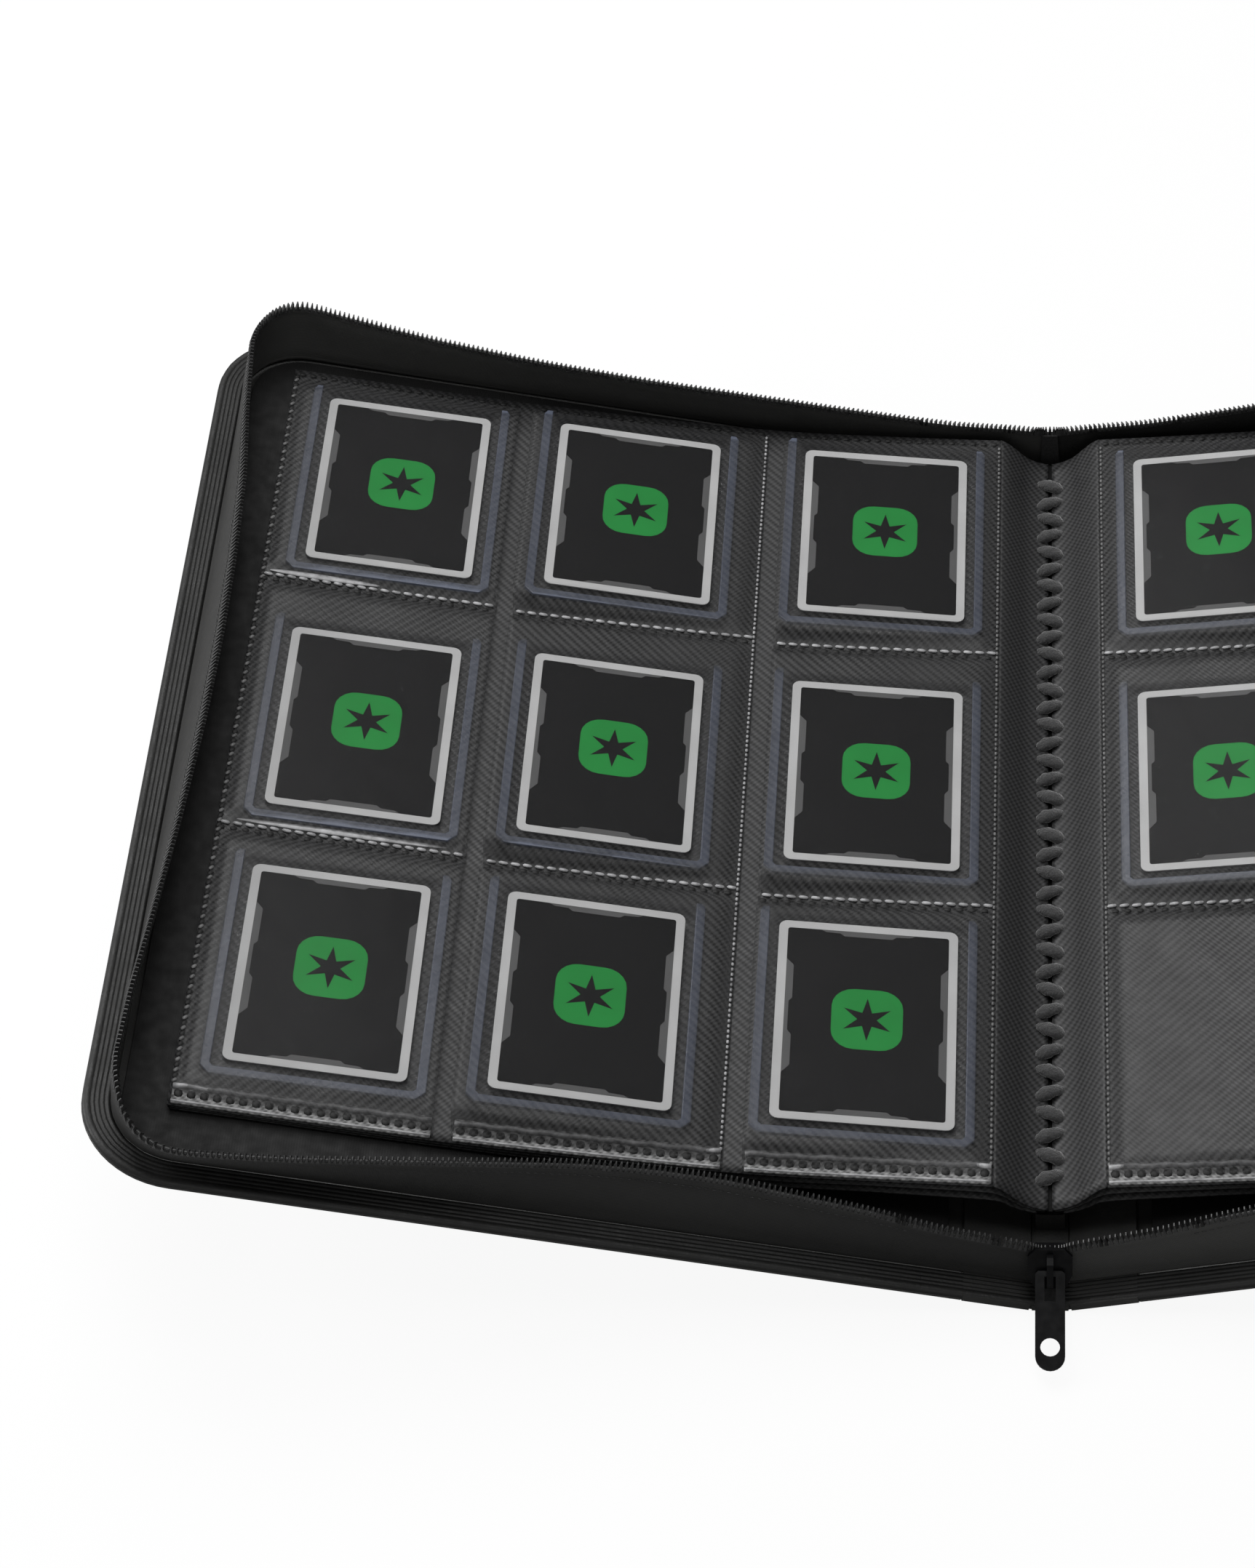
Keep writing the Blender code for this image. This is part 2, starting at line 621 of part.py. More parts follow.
def make_pull_tab(collection, cutters):
    """Flat pull with a rounded end, a round hole and a slot that hangs on the arch."""
    pivot = slider_frame() @ Vector((0.0, -PULL_PIVOT_DOWN * MM, PULL_PIVOT_OUT * MM))
    hinge = new_hinge("pull_pivot", pivot / MM, collection)
    place = Matrix.Translation(pivot) @ Matrix.Rotation(PULL_DROP, 4, "X")
    half = PULL_WIDTH / 2
    end = half - PULL_LENGTH
    outline = [(half, end), (half, 0.0), (half - 1.0, 1.0), (1.0 - half, 1.0), (-half, 0.0)]
    outline += arc(0.0, end, half, 180, 360, 12)[:-1]
    tab = flat_mesh("pull_tab", outline, PULL_THICKNESS)
    finish(tab, "zipper_metal", collection, place, hinge)
    left, right, near, far = PULL_SLOT
    slot_outline = [(left, -far), (right, -far), (right, -near), (left, -near)]
    slot = flat_mesh("pull_slot", slot_outline, 3 * PULL_THICKNESS)
    finish(slot, "zipper_metal", cutters, place)
    hole_outline = arc(0.0, end + PULL_HOLE_IN, PULL_HOLE_RADIUS, 0, 342, 19)
    hole = flat_mesh("pull_hole", hole_outline, 3 * PULL_THICKNESS)
    finish(hole, "zipper_metal", cutters, place)
    cut(tab, slot)
    cut(tab, hole)


def main():
    clear_scene()
    binder = new_collection("trading_card_binder")
    cutters = new_collection("cutters")
    make_spine(binder)
    make_stitch_cord(binder)
    make_zipper_ends(binder)
    make_slider(binder, cutters)
    make_pull_tab(binder, cutters)
    top_hinges = {}
    for side_name, side in (("left", -1), ("right", 1)):
        make_spine_panel(side_name, side, binder)
        make_cover(side_name, side, binder)
        top_hinges[side_name] = make_leaves(side_name, side, binder)
    filled = {
        "left": [(row, column) for row in range(3) for column in ("outer", "middle", "inner")],
        "right": [(0, "inner"), (0, "middle"), (0, "outer"), (1, "inner")],
    }
    for side_name, side in (("left", -1), ("right", 1)):
        for number, (row, column) in enumerate(filled[side_name], start=1):
            label = side_name + "_" + str(number)
            make_card_and_sleeve(label, side, column, row, binder, cutters, top_hinges[side_name])


main()
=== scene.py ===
"""Looks of the trading card binder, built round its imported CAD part.

The row frame: the spine runs along Y, the covers open to -X and +X, +Z is up. Sizes are in
millimetres and MM turns them into metres. A cover has its own frame: s runs outwards from
the spine strip along the underside, y along the spine and n is the height off the underside.
"""

import json
import math
import random

import bpy
import numpy as np
from mathutils import Matrix, Vector


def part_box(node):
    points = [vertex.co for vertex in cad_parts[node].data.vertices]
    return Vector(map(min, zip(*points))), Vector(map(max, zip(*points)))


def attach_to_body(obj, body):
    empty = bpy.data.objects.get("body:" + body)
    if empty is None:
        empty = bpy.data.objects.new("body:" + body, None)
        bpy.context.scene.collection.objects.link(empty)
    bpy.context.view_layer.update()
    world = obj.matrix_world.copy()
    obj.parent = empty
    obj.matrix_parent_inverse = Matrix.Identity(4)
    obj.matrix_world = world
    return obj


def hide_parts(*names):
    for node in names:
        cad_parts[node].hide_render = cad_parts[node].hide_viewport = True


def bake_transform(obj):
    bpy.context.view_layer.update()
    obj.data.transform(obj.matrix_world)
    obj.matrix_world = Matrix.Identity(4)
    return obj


MM = 0.001
SIDES = {"left": -1, "right": 1}
CORNERS = ((-1, -1), (1, -1), (1, 1), (-1, 1))

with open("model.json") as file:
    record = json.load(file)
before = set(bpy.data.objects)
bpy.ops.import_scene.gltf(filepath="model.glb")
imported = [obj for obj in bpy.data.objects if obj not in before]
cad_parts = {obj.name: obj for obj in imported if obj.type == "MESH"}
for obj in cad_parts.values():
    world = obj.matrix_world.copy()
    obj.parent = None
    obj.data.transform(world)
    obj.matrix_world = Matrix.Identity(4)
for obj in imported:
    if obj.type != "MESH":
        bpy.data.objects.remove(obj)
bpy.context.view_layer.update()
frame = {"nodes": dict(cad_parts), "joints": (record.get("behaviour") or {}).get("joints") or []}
JOINTS = {joint["name"]: joint for joint in frame["joints"]}

# Cover and spine, as packed
OPEN_ANGLE = math.radians(12.5)
STRIP_HALF = abs(JOINTS["right_spine_fold"]["pos_m"][0]) / MM
CREASE_S = 25.4
COVER_EDGE = 327.4
COVER_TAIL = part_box("spine_strip")[0].y / MM
COVER_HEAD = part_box("spine_strip")[1].y / MM
CORNER_RADIUS = 34.0
WALL_INSET = 10.0
LINING_START = 29.6
LINING_INSET = 13.4
BORDER_TOP = 3.4
SKIN_LEVELS = (0.0, 1.15)
LINING_LEVELS = (2.85, 3.5)

# Wall round the cover, from the spine's centre at the tail to its centre at the head: the
# distance s on straight stretches or y on the side, inward lean in degrees, length
TAIL_WALL = (
    (-6.4, 1, 17.5), (0, 0, 18.5), (12, -2, 21), (36, -4, 24), (60, -2, 27.6),
    (84, 3, 27.6), (110, 9, 27.6), (135, 9, 27.6), (160, 4, 27.6), (184, -4.4, 27.6),
    (207, -11.7, 27.6), (231, -18.6, 27.6), (254, -25, 27.6), (274, -29, 27.6),
)
TAIL_CORNER_LEAN = (-32, -30, -26, -18, -11, -6, -3, -1, 0)
SIDE_WALL = (
    (-160, 1.5), (-120, 8), (-80, 14), (-30, 19), (12, 20.5), (54, 19.4),
    (96, 15.5), (130, 8),
)
HEAD_CORNER_LEAN = (2, 2.5, 2.5, 1.5, 0, -2, -3.5, -3, 0)
HEAD_WALL = (
    (279, 5, 27.6), (263, 10, 27.6), (246, 14.4, 27.6), (229, 17, 27.6),
    (211, 19.7, 27.6), (194, 21, 27.6), (160, 22.5, 27.6), (125, 22, 27.6),
    (90, 21.4, 27.6), (55, 20.4, 27.6), (36, 19, 27.6), (12, 12, 26.5), (-6.4, 8, 25.5),
)
WALL_LENGTH = 27.6
WALL_THICKNESS = 1.1
BORDER_THICKNESS = 0.5
TOOTH_PITCH = 1.85
TAPE_FOOT = 2.6
WALL_PITCH = 3.0
STITCH_DROP = 6.0
# Where the border's and the tape's pieces across the crease start, and where they stop
BORDER_STRETCH = (20.0, 36.0)
TAPE_STRETCH = (14.0, 48.0)

# Leaves and pockets, as packed
LEAF_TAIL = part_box("left_leaf_sheet")[0].y / MM
LEAF_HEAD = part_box("left_leaf_sheet")[1].y / MM
# Sections of the sheets: (distance from the spine's middle, height)
TOP_LEAF = (
    (18.8, 29.5), (60.0, 32.0), (104.0, 35.6), (152.0, 42.6), (202.0, 51.3), (250.0, 61.0),
    (296.4, 71.3),
)
LEAF_TWO = (
    (0.9, 15.5), (5.0, 16.6), (9.3, 18.6), (15.0, 23.2), (21.0, 26.2), (60.0, 29.4), (107.0, 33.4),
    (205.0, 50.4), (296.2, 70.3),
)
LEAF_THREE = (
    (0.9, 14.4), (5.0, 15.0), (9.3, 16.4), (15.0, 19.6), (21.0, 22.2), (60.0, 26.0), (107.0, 30.8),
    (205.0, 49.2), (296.0, 69.2),
)
GUTTER_SHEET = ((0.7, 16.6), (3.0, 17.0), (6.0, 18.2), (9.3, 20.4), (13.0, 24.4), (16.5, 28.0), (19.2, 29.7))
TOP_LEAF_THICKNESS = 0.6
LOWER_LEAF_THICKNESS = 0.55
LEAF_STATIONS = 76
# Rows where the pockets are welded shut, from the tail to the head
ROW_WELDS = (-185.2, -66.0, 60.0, 177.5)
# How far the two middle rows are drawn towards the sleeves above them
ROW_SHIFT = {"outer": 6.0, "middle": 4.6, "inner": 2.4}
# Per column: outer edge of its cards, height and rise of their plane, weld and mouth of the pockets
COLUMNS = {
    "outer": {"x": 280.7, "z": 69.7, "rise": 11.4, "weld": 296.0, "mouth": 208.0},
    "middle": {"x": 191.0, "z": 55.1, "rise": 11.7, "weld": 110.6, "mouth": 202.0},
    "inner": {"x": 95.5, "z": 39.6, "rise": 6.4, "weld": 19.0, "mouth": 104.0},
}
WEAVE_PITCH = 2.74
CARD = (63.5, 88.9, 0.4)
CARD_HEADS = (167.0, 41.0, -77.0)
CARD_BORDER = 3.2
SLEEVE_OVER_CARD = 6.0
SLEEVE = (77.5, 101.9, 1.7)
SLEEVE_ARM = 3.4
FILM_GAP = 0.3
FILM_LIFT = 1.0
FILM_THICKNESS = 0.3
DASH_PITCH = 4.25
HEAD_PIT_PITCH = 4.1
RUNG_PITCH = 4.3
OUTER_WELD_PITCH = 4.55
INNER_WELD_PITCH = 2.34
OUTER_WELD_TURN = math.radians(38)
WELD_MARGIN = 0.8

# Saddle stitch along the gutter
STITCHES = 38
STITCH_REACH = 5.5
STITCH_SLANT = 2.4
STITCH_HEIGHT = 16.8
STITCH_GIRTH = 2.75

FLOOR_HALF = 40000.0
FLOOR_LEVEL = -0.4

# Camera, looking down on the open binder from beyond its tail
CAMERA_AT = (1.29, -1072.6, 1195.4)
CAMERA_YAW = math.radians(8.337)
CAMERA_PITCH = math.radians(47.144)
CAMERA_ROLL = math.radians(-6.182)
CAMERA_LENS = 98.66


# Mesh helpers


def linked(name, data):
    obj = bpy.data.objects.new(name, data)
    bpy.context.scene.collection.objects.link(obj)
    return obj


def new_object(name, vertices, faces, material, uvs=None, smooth=True):
    """A mesh object from points in millimetres; uvs gives one pair per vertex, in millimetres."""
    mesh = bpy.data.meshes.new(name)
    mesh.from_pydata((np.asarray(vertices, float) * MM).tolist(), [], faces)
    mesh.materials.append(material)
    mesh.polygons.foreach_set("use_smooth", [smooth] * len(mesh.polygons))
    if uvs is not None:
        layer = mesh.uv_layers.new(name="UVMap")
        index = np.empty(len(mesh.loops), np.int32)
        mesh.loops.foreach_get("vertex_index", index)
        layer.data.foreach_set("uv", np.asarray(uvs, np.float32)[index].ravel())
    mesh.validate()
    return linked(name, mesh)


def grid_faces(tall, wide):
    starts = [i * wide + j for i in range(tall - 1) for j in range(wide - 1)]
    return [(a, a + 1, a + wide + 1, a + wide) for a in starts]


def running_length(points):
    """Distance along a line of points, from its first point to each of them."""
    steps = np.linalg.norm(np.diff(points, axis=0), axis=1)
    return np.concatenate([[0.0], np.cumsum(steps)])


def ring_faces(start, rings, sides):
    """Faces between rings of vertices that follow one another from vertex start."""
    faces = []
    for i in range(rings - 1):
        for j in range(sides):
            a = start + i * sides + j
            b = start + i * sides + (j + 1) % sides
            faces.append((a, b, b + sides, a + sides))
    return faces


def closed_faces(start, rings, sides):
    """The same, with the first and the last ring closed."""
    first = tuple(range(start, start + sides))[::-1]
    last = start + (rings - 1) * sides
    return [first, tuple(range(last, last + sides))] + ring_faces(start, rings, sides)


def place_piece(obj, body, node=None):
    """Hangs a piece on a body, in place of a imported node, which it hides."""
    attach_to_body(obj, body)
    if node:
        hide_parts(node)


def grid_object(name, rows, material, thickness, offset, uvs=None):
    """A sheet through rows of points, thickened to one side."""
    points = np.asarray(rows, float)
    tall, wide = points.shape[:2]
    if uvs is None:
        along = np.linalg.norm(np.diff(points, axis=0), axis=2).mean(axis=1)
        across = np.linalg.norm(np.diff(points, axis=1), axis=2).mean(axis=0)
        v = np.concatenate([[0.0], np.cumsum(along)])
        u = np.concatenate([[0.0], np.cumsum(across)])
        uvs = np.stack(np.meshgrid(u, v), axis=2)
    uvs = np.asarray(uvs).reshape(-1, 2)
    obj = new_object(name, points.reshape(-1, 3), grid_faces(tall, wide), material, uvs)
    shell = obj.modifiers.new("shell", "SOLIDIFY")
    shell.thickness = thickness * MM
    shell.offset = offset
    shell.use_even_offset = True
    return obj


def smooth_line(line, steps):
    """Points spaced evenly along a Catmull-Rom curve through the given ones."""
    points = np.asarray(line, float)
    points = np.vstack([2 * points[0] - points[1], points, 2 * points[-1] - points[-2]])
    fine = []
    for a, b, c, d in zip(points, points[1:], points[2:], points[3:]):
        for t in np.linspace(0.0, 1.0, 12, endpoint=False):
            square = (2 * a - 5 * b + 4 * c - d) * t**2
            cube = (3 * b - a - 3 * c + d) * t**3
            fine.append(0.5 * (2 * b + (c - a) * t + square + cube))
    fine.append(points[-2])
    fine = np.asarray(fine)
    length = running_length(fine)
    even = np.linspace(0.0, length[-1], steps)
    return np.stack([np.interp(even, length, fine[:, k]) for k in range(fine.shape[1])], axis=1)


def bumps(name, places, half, material, taper=0.55, rings=3, sides=8):
    """Small rounded beads, one per place; a place is (centre, long axis, up axis)."""
    vertices = []
    faces = []
    for centre, along, up in places:
        along = np.asarray(along) / np.linalg.norm(along)
        up = np.asarray(up) / np.linalg.norm(up)
        across = np.cross(up, along)
        start = len(vertices)
        for i in range(rings + 2):
            angle = math.pi * i / (rings + 1)
            reach = -math.cos(angle)
            girth = math.sin(angle) ** taper
            for j in range(sides):
                turn = 2 * math.pi * j / sides
                offset = along * reach * half[0] + across * math.cos(turn) * girth * half[1]
                offset += up * math.sin(turn) * girth * half[2]
                vertices.append(np.asarray(centre) + offset)
        faces += ring_faces(start, rings + 2, sides)
    return new_object(name, vertices, faces, material)


def tube(name, line, radius, material, sides=8):
    """A round cord along a line of points."""
    line = np.asarray(line, float)
    tangent = np.gradient(line, axis=0)
    tangent /= np.linalg.norm(tangent, axis=1)[:, None]
    vertices = []
    for point, along in zip(line, tangent):
        side = np.cross(along, (0.0, 0.0, 1.0))
        side /= np.linalg.norm(side)
        up = np.cross(side, along)
        for j in range(sides):
            turn = 2 * math.pi * j / sides
            vertices.append(point + radius * (math.cos(turn) * side + math.sin(turn) * up))
    return new_object(name, vertices, closed_faces(0, len(line), sides), material)


def arc(centre_x, centre_y, radius, start, end, steps):
    angles = np.radians(np.linspace(start, end, steps + 1))
    return [(centre_x + radius * math.cos(a), centre_y + radius * math.sin(a)) for a in angles]


def plate(name, outline, low, high, material, place=Matrix.Identity(4), bevel=0.0):
    """A flat outline given thickness, with rounded edges."""
    count = len(outline)
    vertices = [(x, y, low) for x, y in outline] + [(x, y, high) for x, y in outline]
    obj = new_object(name, vertices, closed_faces(0, 2, count), material, list(outline) * 2, smooth=False)
    obj.data.transform(place)
    if place.determinant() < 0:
        obj.data.flip_normals()
    if bevel:
        soften(obj, bevel)
    return obj


def soften(obj, width, segments=3):
    edge = obj.modifiers.new("soft edge", "BEVEL")
    edge.width = width * MM
    edge.segments = segments
    edge.limit_method = "ANGLE"
    edge.angle_limit = math.radians(32)


def smooth_step(value):
    value = np.clip(value, 0.0, 1.0)
    return value * value * (3.0 - 2.0 * value)


# Materials


class Look:
    """A node material with helpers that add one kind of detail each."""

    def __init__(self, name, color, roughness, uv=True, gloss=0.25):
        self.material = bpy.data.materials.new(name)
        self.material.use_nodes = True
        self.nodes = self.material.node_tree.nodes
        self.links = self.material.node_tree.links
        self.shader = self.nodes["Principled BSDF"]
        self.shader.inputs["Roughness"].default_value = roughness
        self.shader.inputs["Specular IOR Level"].default_value = gloss
        self.shader.inputs["Base Color"].default_value = (*color, 1.0)
        self.color = color
        self.normal = None
        coordinate = self.nodes.new("ShaderNodeTexCoord")
        self.place = coordinate.outputs["UV"]
        if not uv:
            scale = self.nodes.new("ShaderNodeVectorMath")
            scale.operation = "SCALE"
            scale.inputs["Scale"].default_value = 1.0 / MM
            self.links.new(coordinate.outputs["Object"], scale.inputs[0])
            self.place = scale.outputs[0]

    def noise(self, size, detail=3.0):
        """Noise with features about size millimetres across."""
        node = self.nodes.new("ShaderNodeTexNoise")
        node.inputs["Scale"].default_value = 1.0 / size
        node.inputs["Detail"].default_value = detail
        self.links.new(self.place, node.inputs["Vector"])
        return node.outputs["Fac"]

    def cells(self, size):
        node = self.nodes.new("ShaderNodeTexVoronoi")
        node.feature = "SMOOTH_F1"
        node.inputs["Scale"].default_value = 1.0 / size
        self.links.new(self.place, node.inputs["Vector"])
        return node.outputs["Distance"]

    def stripes(self, pitch, turn):
        """Parallel ribs of the given pitch in millimetres."""
        mapping = self.nodes.new("ShaderNodeMapping")
        mapping.inputs["Rotation"].default_value = (0.0, 0.0, turn)
        self.links.new(self.place, mapping.inputs["Vector"])
        node = self.nodes.new("ShaderNodeTexWave")
        node.inputs["Scale"].default_value = math.pi / 10.0 / pitch
        self.links.new(mapping.outputs["Vector"], node.inputs["Vector"])
        return node.outputs["Fac"]

    def calc(self, operation, a, b):
        node = self.nodes.new("ShaderNodeMath")
        node.operation = operation
        for socket, value in zip(node.inputs, (a, b)):
            if isinstance(value, (int, float)):
                socket.default_value = value
            else:
                self.links.new(value, socket)
        return node.outputs[0]

    def weave(self, pitch, turn=math.pi / 4, share=0.4):
        """Ribs, crossed by a finer and fainter set."""
        first = self.calc("MULTIPLY", self.stripes(pitch, turn), 1.0 - share)
        second = self.calc("MULTIPLY", self.stripes(pitch / 2, turn + math.pi / 2), share)
        return self.calc("ADD", first, second)

    def ranged(self, value, low, high, from_low=0.3, from_high=0.7):
        node = self.nodes.new("ShaderNodeMapRange")
        self.links.new(value, node.inputs["Value"])
        node.inputs["From Min"].default_value = from_low
        node.inputs["From Max"].default_value = from_high
        node.inputs["To Min"].default_value = low
        node.inputs["To Max"].default_value = high
        return node.outputs["Result"]

    def rough(self, value, low, high):
        self.links.new(self.ranged(value, low, high), self.shader.inputs["Roughness"])
        return self

    def tint(self, value, dark, light, from_low=0.3, from_high=0.7):
        """Base colour between two shades of its own, driven by a texture."""
        mix = self.nodes.new("ShaderNodeMix")
        mix.data_type = "RGBA"
        mix.inputs["A"].default_value = (*[c * dark for c in self.color], 1.0)
        mix.inputs["B"].default_value = (*[c * light for c in self.color], 1.0)
        self.links.new(self.ranged(value, 0.0, 1.0, from_low, from_high), mix.inputs["Factor"])
        self.links.new(mix.outputs["Result"], self.shader.inputs["Base Color"])
        return self

    def bump(self, value, depth, strength=1.0):
        """Relief of the given depth in millimetres."""
        node = self.nodes.new("ShaderNodeBump")
        node.inputs["Strength"].default_value = strength
        node.inputs["Distance"].default_value = depth * MM
        self.links.new(value, node.inputs["Height"])
        if self.normal is not None:
            self.links.new(self.normal, node.inputs["Normal"])
        self.normal = node.outputs["Normal"]
        self.links.new(self.normal, self.shader.inputs["Normal"])
        return self


def leather(name, uv=True, shade=1.0):
    look = Look(name, (0.026 * shade, 0.026 * shade, 0.025 * shade), 0.55, uv=uv)
    look.tint(look.noise(24.0), 0.75, 1.3)
    look.rough(look.noise(6.0), 0.42, 0.62)
    return look.bump(look.cells(0.9), 0.16, 0.5).bump(look.noise(3.0), 0.1, 0.4).material


def tape_fabric(name, color):
    look = Look(name, color, 0.62)
    look.tint(look.weave(0.7, 0.0, 0.5), 0.8, 1.25)
    look.rough(look.noise(9.0), 0.5, 0.68)
    return look.bump(look.weave(0.7, 0.0, 0.5), 0.08, 0.6).bump(look.noise(14.0), 0.6, 0.5).material


def lining_fabric():
    look = Look("lining_fabric", (0.006, 0.006, 0.006), 0.8)
    look.tint(look.noise(30.0), 0.7, 1.4)
    look.rough(look.noise(5.0), 0.65, 0.85)
    return look.bump(look.weave(0.9, 0.0), 0.07, 0.5).material


def leaf_plastic(name, color):
    """Embossed polypropylene sheet with a fine diamond weave."""
    look = Look(name, color, 0.42)
    weave = look.weave(WEAVE_PITCH)
    look.tint(weave, 0.45, 1.7, 0.1, 0.9)
    look.rough(look.noise(8.0), 0.4, 0.55)
    return look.bump(weave, 0.15, 0.7).bump(look.noise(25.0), 0.5, 0.4).material


def pocket_film():
    """Clear front of a pocket: a thin haze with the weave's print, clearer over the card. The haze's grey is
    partly the film's own haze and partly painted sheen, the film's reflection put into the colour.
    """
    look = Look("pocket_film_clear", (0.040, 0.040, 0.0405), 0.3, gloss=0.2)
    weave = look.weave(WEAVE_PITCH)
    look.tint(weave, 0.35, 1.8, 0.1, 0.9)
    look.rough(look.noise(7.0), 0.24, 0.38)
    haze_and_sheen = look.nodes.new("ShaderNodeAttribute")
    haze_and_sheen.attribute_name = "haze_and_sheen"
    alpha = look.calc("MULTIPLY", haze_and_sheen.outputs["Fac"], look.ranged(look.noise(30.0), 0.85, 1.0))
    look.links.new(alpha, look.shader.inputs["Alpha"])
    return look.bump(weave, 0.12, 0.6).bump(look.noise(16.0), 0.22, 0.35).material


def mottled(name, color, roughness, spots, relief, patches=None, gloss=0.25):
    """Colour spots (size, dark, light), relief (size, depth, strength), rough patches (size, low, high)."""
    look = Look(name, color, roughness, uv=False, gloss=gloss)
    look.tint(look.noise(spots[0]), *spots[1:])
    if patches:
        look.rough(look.noise(patches[0]), *patches[1:])
    return look.bump(look.noise(relief[0]), *relief[1:]).material


def card_stock(name, color):
    return mottled(name, color, 0.5, (26.0, 0.93, 1.07), (0.7, 0.02, 0.4), (6.0, 0.44, 0.58), 0.08)


def sleeve_clear():
    look = Look("sleeve_clear", (0.05, 0.05, 0.055), 0.15, uv=False)
    look.rough(look.noise(9.0), 0.08, 0.2)
    look.shader.inputs["Alpha"].default_value = 0.03
    return look.bump(look.noise(20.0), 0.1, 0.3).material


def cord_look():
    look = Look("saddle_cord", (0.019, 0.019, 0.0195), 0.75, uv=False)
    look.tint(look.noise(0.8), 0.6, 1.6)
    look.shader.inputs["Sheen Weight"].default_value = 0.5
    return look.bump(look.noise(0.7, 4.0), 0.5, 0.9).material


def black_metal():
    look = Look("black_metal", (0.002, 0.002, 0.0022), 0.45, uv=False, gloss=0.06)
    look.rough(look.noise(3.0, 5.0), 0.3, 0.5)
    look.tint(look.noise(5.0), 0.7, 1.6)
    return look.bump(look.noise(1.0, 6.0), 0.03, 0.4).material


def board_paper():
    look = Look("board_paper", (0.26, 0.22, 0.17), 0.85, uv=False)
    look.tint(look.noise(3.0, 5.0), 0.8, 1.2)
    return look.bump(look.noise(0.6), 0.05, 0.5).material


LEATHER = leather("cover_leather")
LEATHER_3D = leather("spine_leather", uv=False)
BORDER = leather("border_leather", shade=0.4)
TAPE = tape_fabric("zipper_tape", (0.018, 0.018, 0.0175))
TAPE_INNER = tape_fabric("zipper_tape_inside", (0.040, 0.040, 0.0385))
LINING = lining_fabric()
LEAF = leaf_plastic("leaf_base", (0.022, 0.022, 0.0225))
# The lower leaves are the same plastic as the top one, darker: painted shade under the top leaf
LEAF_SHADED = leaf_plastic("leaf_under_shaded", (0.012, 0.012, 0.012))
FILM = pocket_film()
# The welds' light grey is a painted highlight: the glare on the pressed plastic, put into the colour
WELD_HIGHLIGHT_GREY = (0.27, 0.27, 0.275)
WELD_HIGHLIGHT = mottled("weld_bead_highlight", WELD_HIGHLIGHT_GREY, 0.35, (4.0, 0.5, 1.25), (1.2, 0.1, 0.5), (2.0, 0.2, 0.4), 0.35)
BLUE_GREY = (0.066, 0.075, 0.102)
RIM = mottled("sleeve_frame", BLUE_GREY, 0.42, (18.0, 0.85, 1.2), (14.0, 0.15, 0.4), (9.0, 0.18, 0.36))
SLEEVE_CLEAR = sleeve_clear()
CARD_EDGE = card_stock("card_border", (0.37, 0.37, 0.37))
CARD_FACE = card_stock("card_face", (0.0045, 0.0045, 0.0045))
CARD_TAB = card_stock("card_tab", (0.075, 0.075, 0.075))
CARD_GREEN = card_stock("card_green", (0.0125, 0.178, 0.034))
CORD = cord_look()
METAL = black_metal()
TEETH = mottled("tooth_nylon", (0.022,) * 3, 0.3, (2.0, 0.6, 1.8), (0.5, 0.05, 0.5), (1.5, 0.22, 0.42))
BOARD = board_paper()
LEAF_EDGE = mottled("leaf_edge", (0.10,) * 3, 0.4, (3.0, 0.6, 1.4), (1.0, 0.1, 0.5))
WELD_BAND = leaf_plastic("weld_band", (0.11, 0.11, 0.11))
PIT = mottled("weld_pit", (0.006,) * 3, 0.6, (2.0, 0.6, 1.5), (0.8, 0.1, 0.5))
# The gutter fold is the leaves' plastic painted near black: painted shade deep in the gutter
GUTTER_SHADE = mottled("gutter_plastic_shaded", (0.004,) * 3, 0.6, (8.0, 0.7, 1.3), (1.5, 0.1, 0.5), gloss=0.05)
TAPE_END = mottled("tape_end", (0.012,) * 3, 0.7, (1.0, 0.6, 1.4), (0.8, 0.15, 0.6))


# Cover and spine


def cover_point(side, s, y, n):
    """A point of the cover's frame in the row frame. Over the spine the opening angle fades in."""
    angle = OPEN_ANGLE * float(smooth_step((s + STRIP_HALF) / 14.0))
    x = STRIP_HALF + s * (math.cos(OPEN_ANGLE) if s > 0.0 else 1.0) - n * math.sin(angle)
    return np.asarray((side * x, y, max(s, 0.0) * math.sin(OPEN_ANGLE) + n * math.cos(angle)))


def cover_matrix(side):
    """The cover's frame; the left one is mirrored."""
    turn = Matrix.Rotation(-OPEN_ANGLE, 4, "Y")
    start = Matrix.Translation((STRIP_HALF * MM, 0.0, 0.0))
    return Matrix.Diagonal((side, 1.0, 1.0, 1.0)) @ start @ turn


def cover_outline(start, inset, steps=14):
    edge = COVER_EDGE - inset
    tail = COVER_TAIL + inset
    head = COVER_HEAD - inset
    radius = CORNER_RADIUS - inset
    outline = [(start, tail)]
    outline += arc(edge - radius, tail + radius, radius, -90, 0, steps)
    outline += arc(edge - radius, head - radius, radius, 0, 90, steps)
    outline.append((start, head))
    return outline


# The wall's parts overlap by one station, each a hair inside the one before
PART_INSET = {"cover": 0.0, "crease": 0.05, "spine": 0.1}


def corner_knots(centre_s, centre_y, radius, start, leans):
    knots = []
    for turn, lean in zip(np.linspace(start, start + math.pi / 2, len(leans)), leans):
        x, y = math.cos(turn), math.sin(turn)
        knots.append((centre_s + radius * x, centre_y + radius * y, x, y, lean, WALL_LENGTH))
    return knots


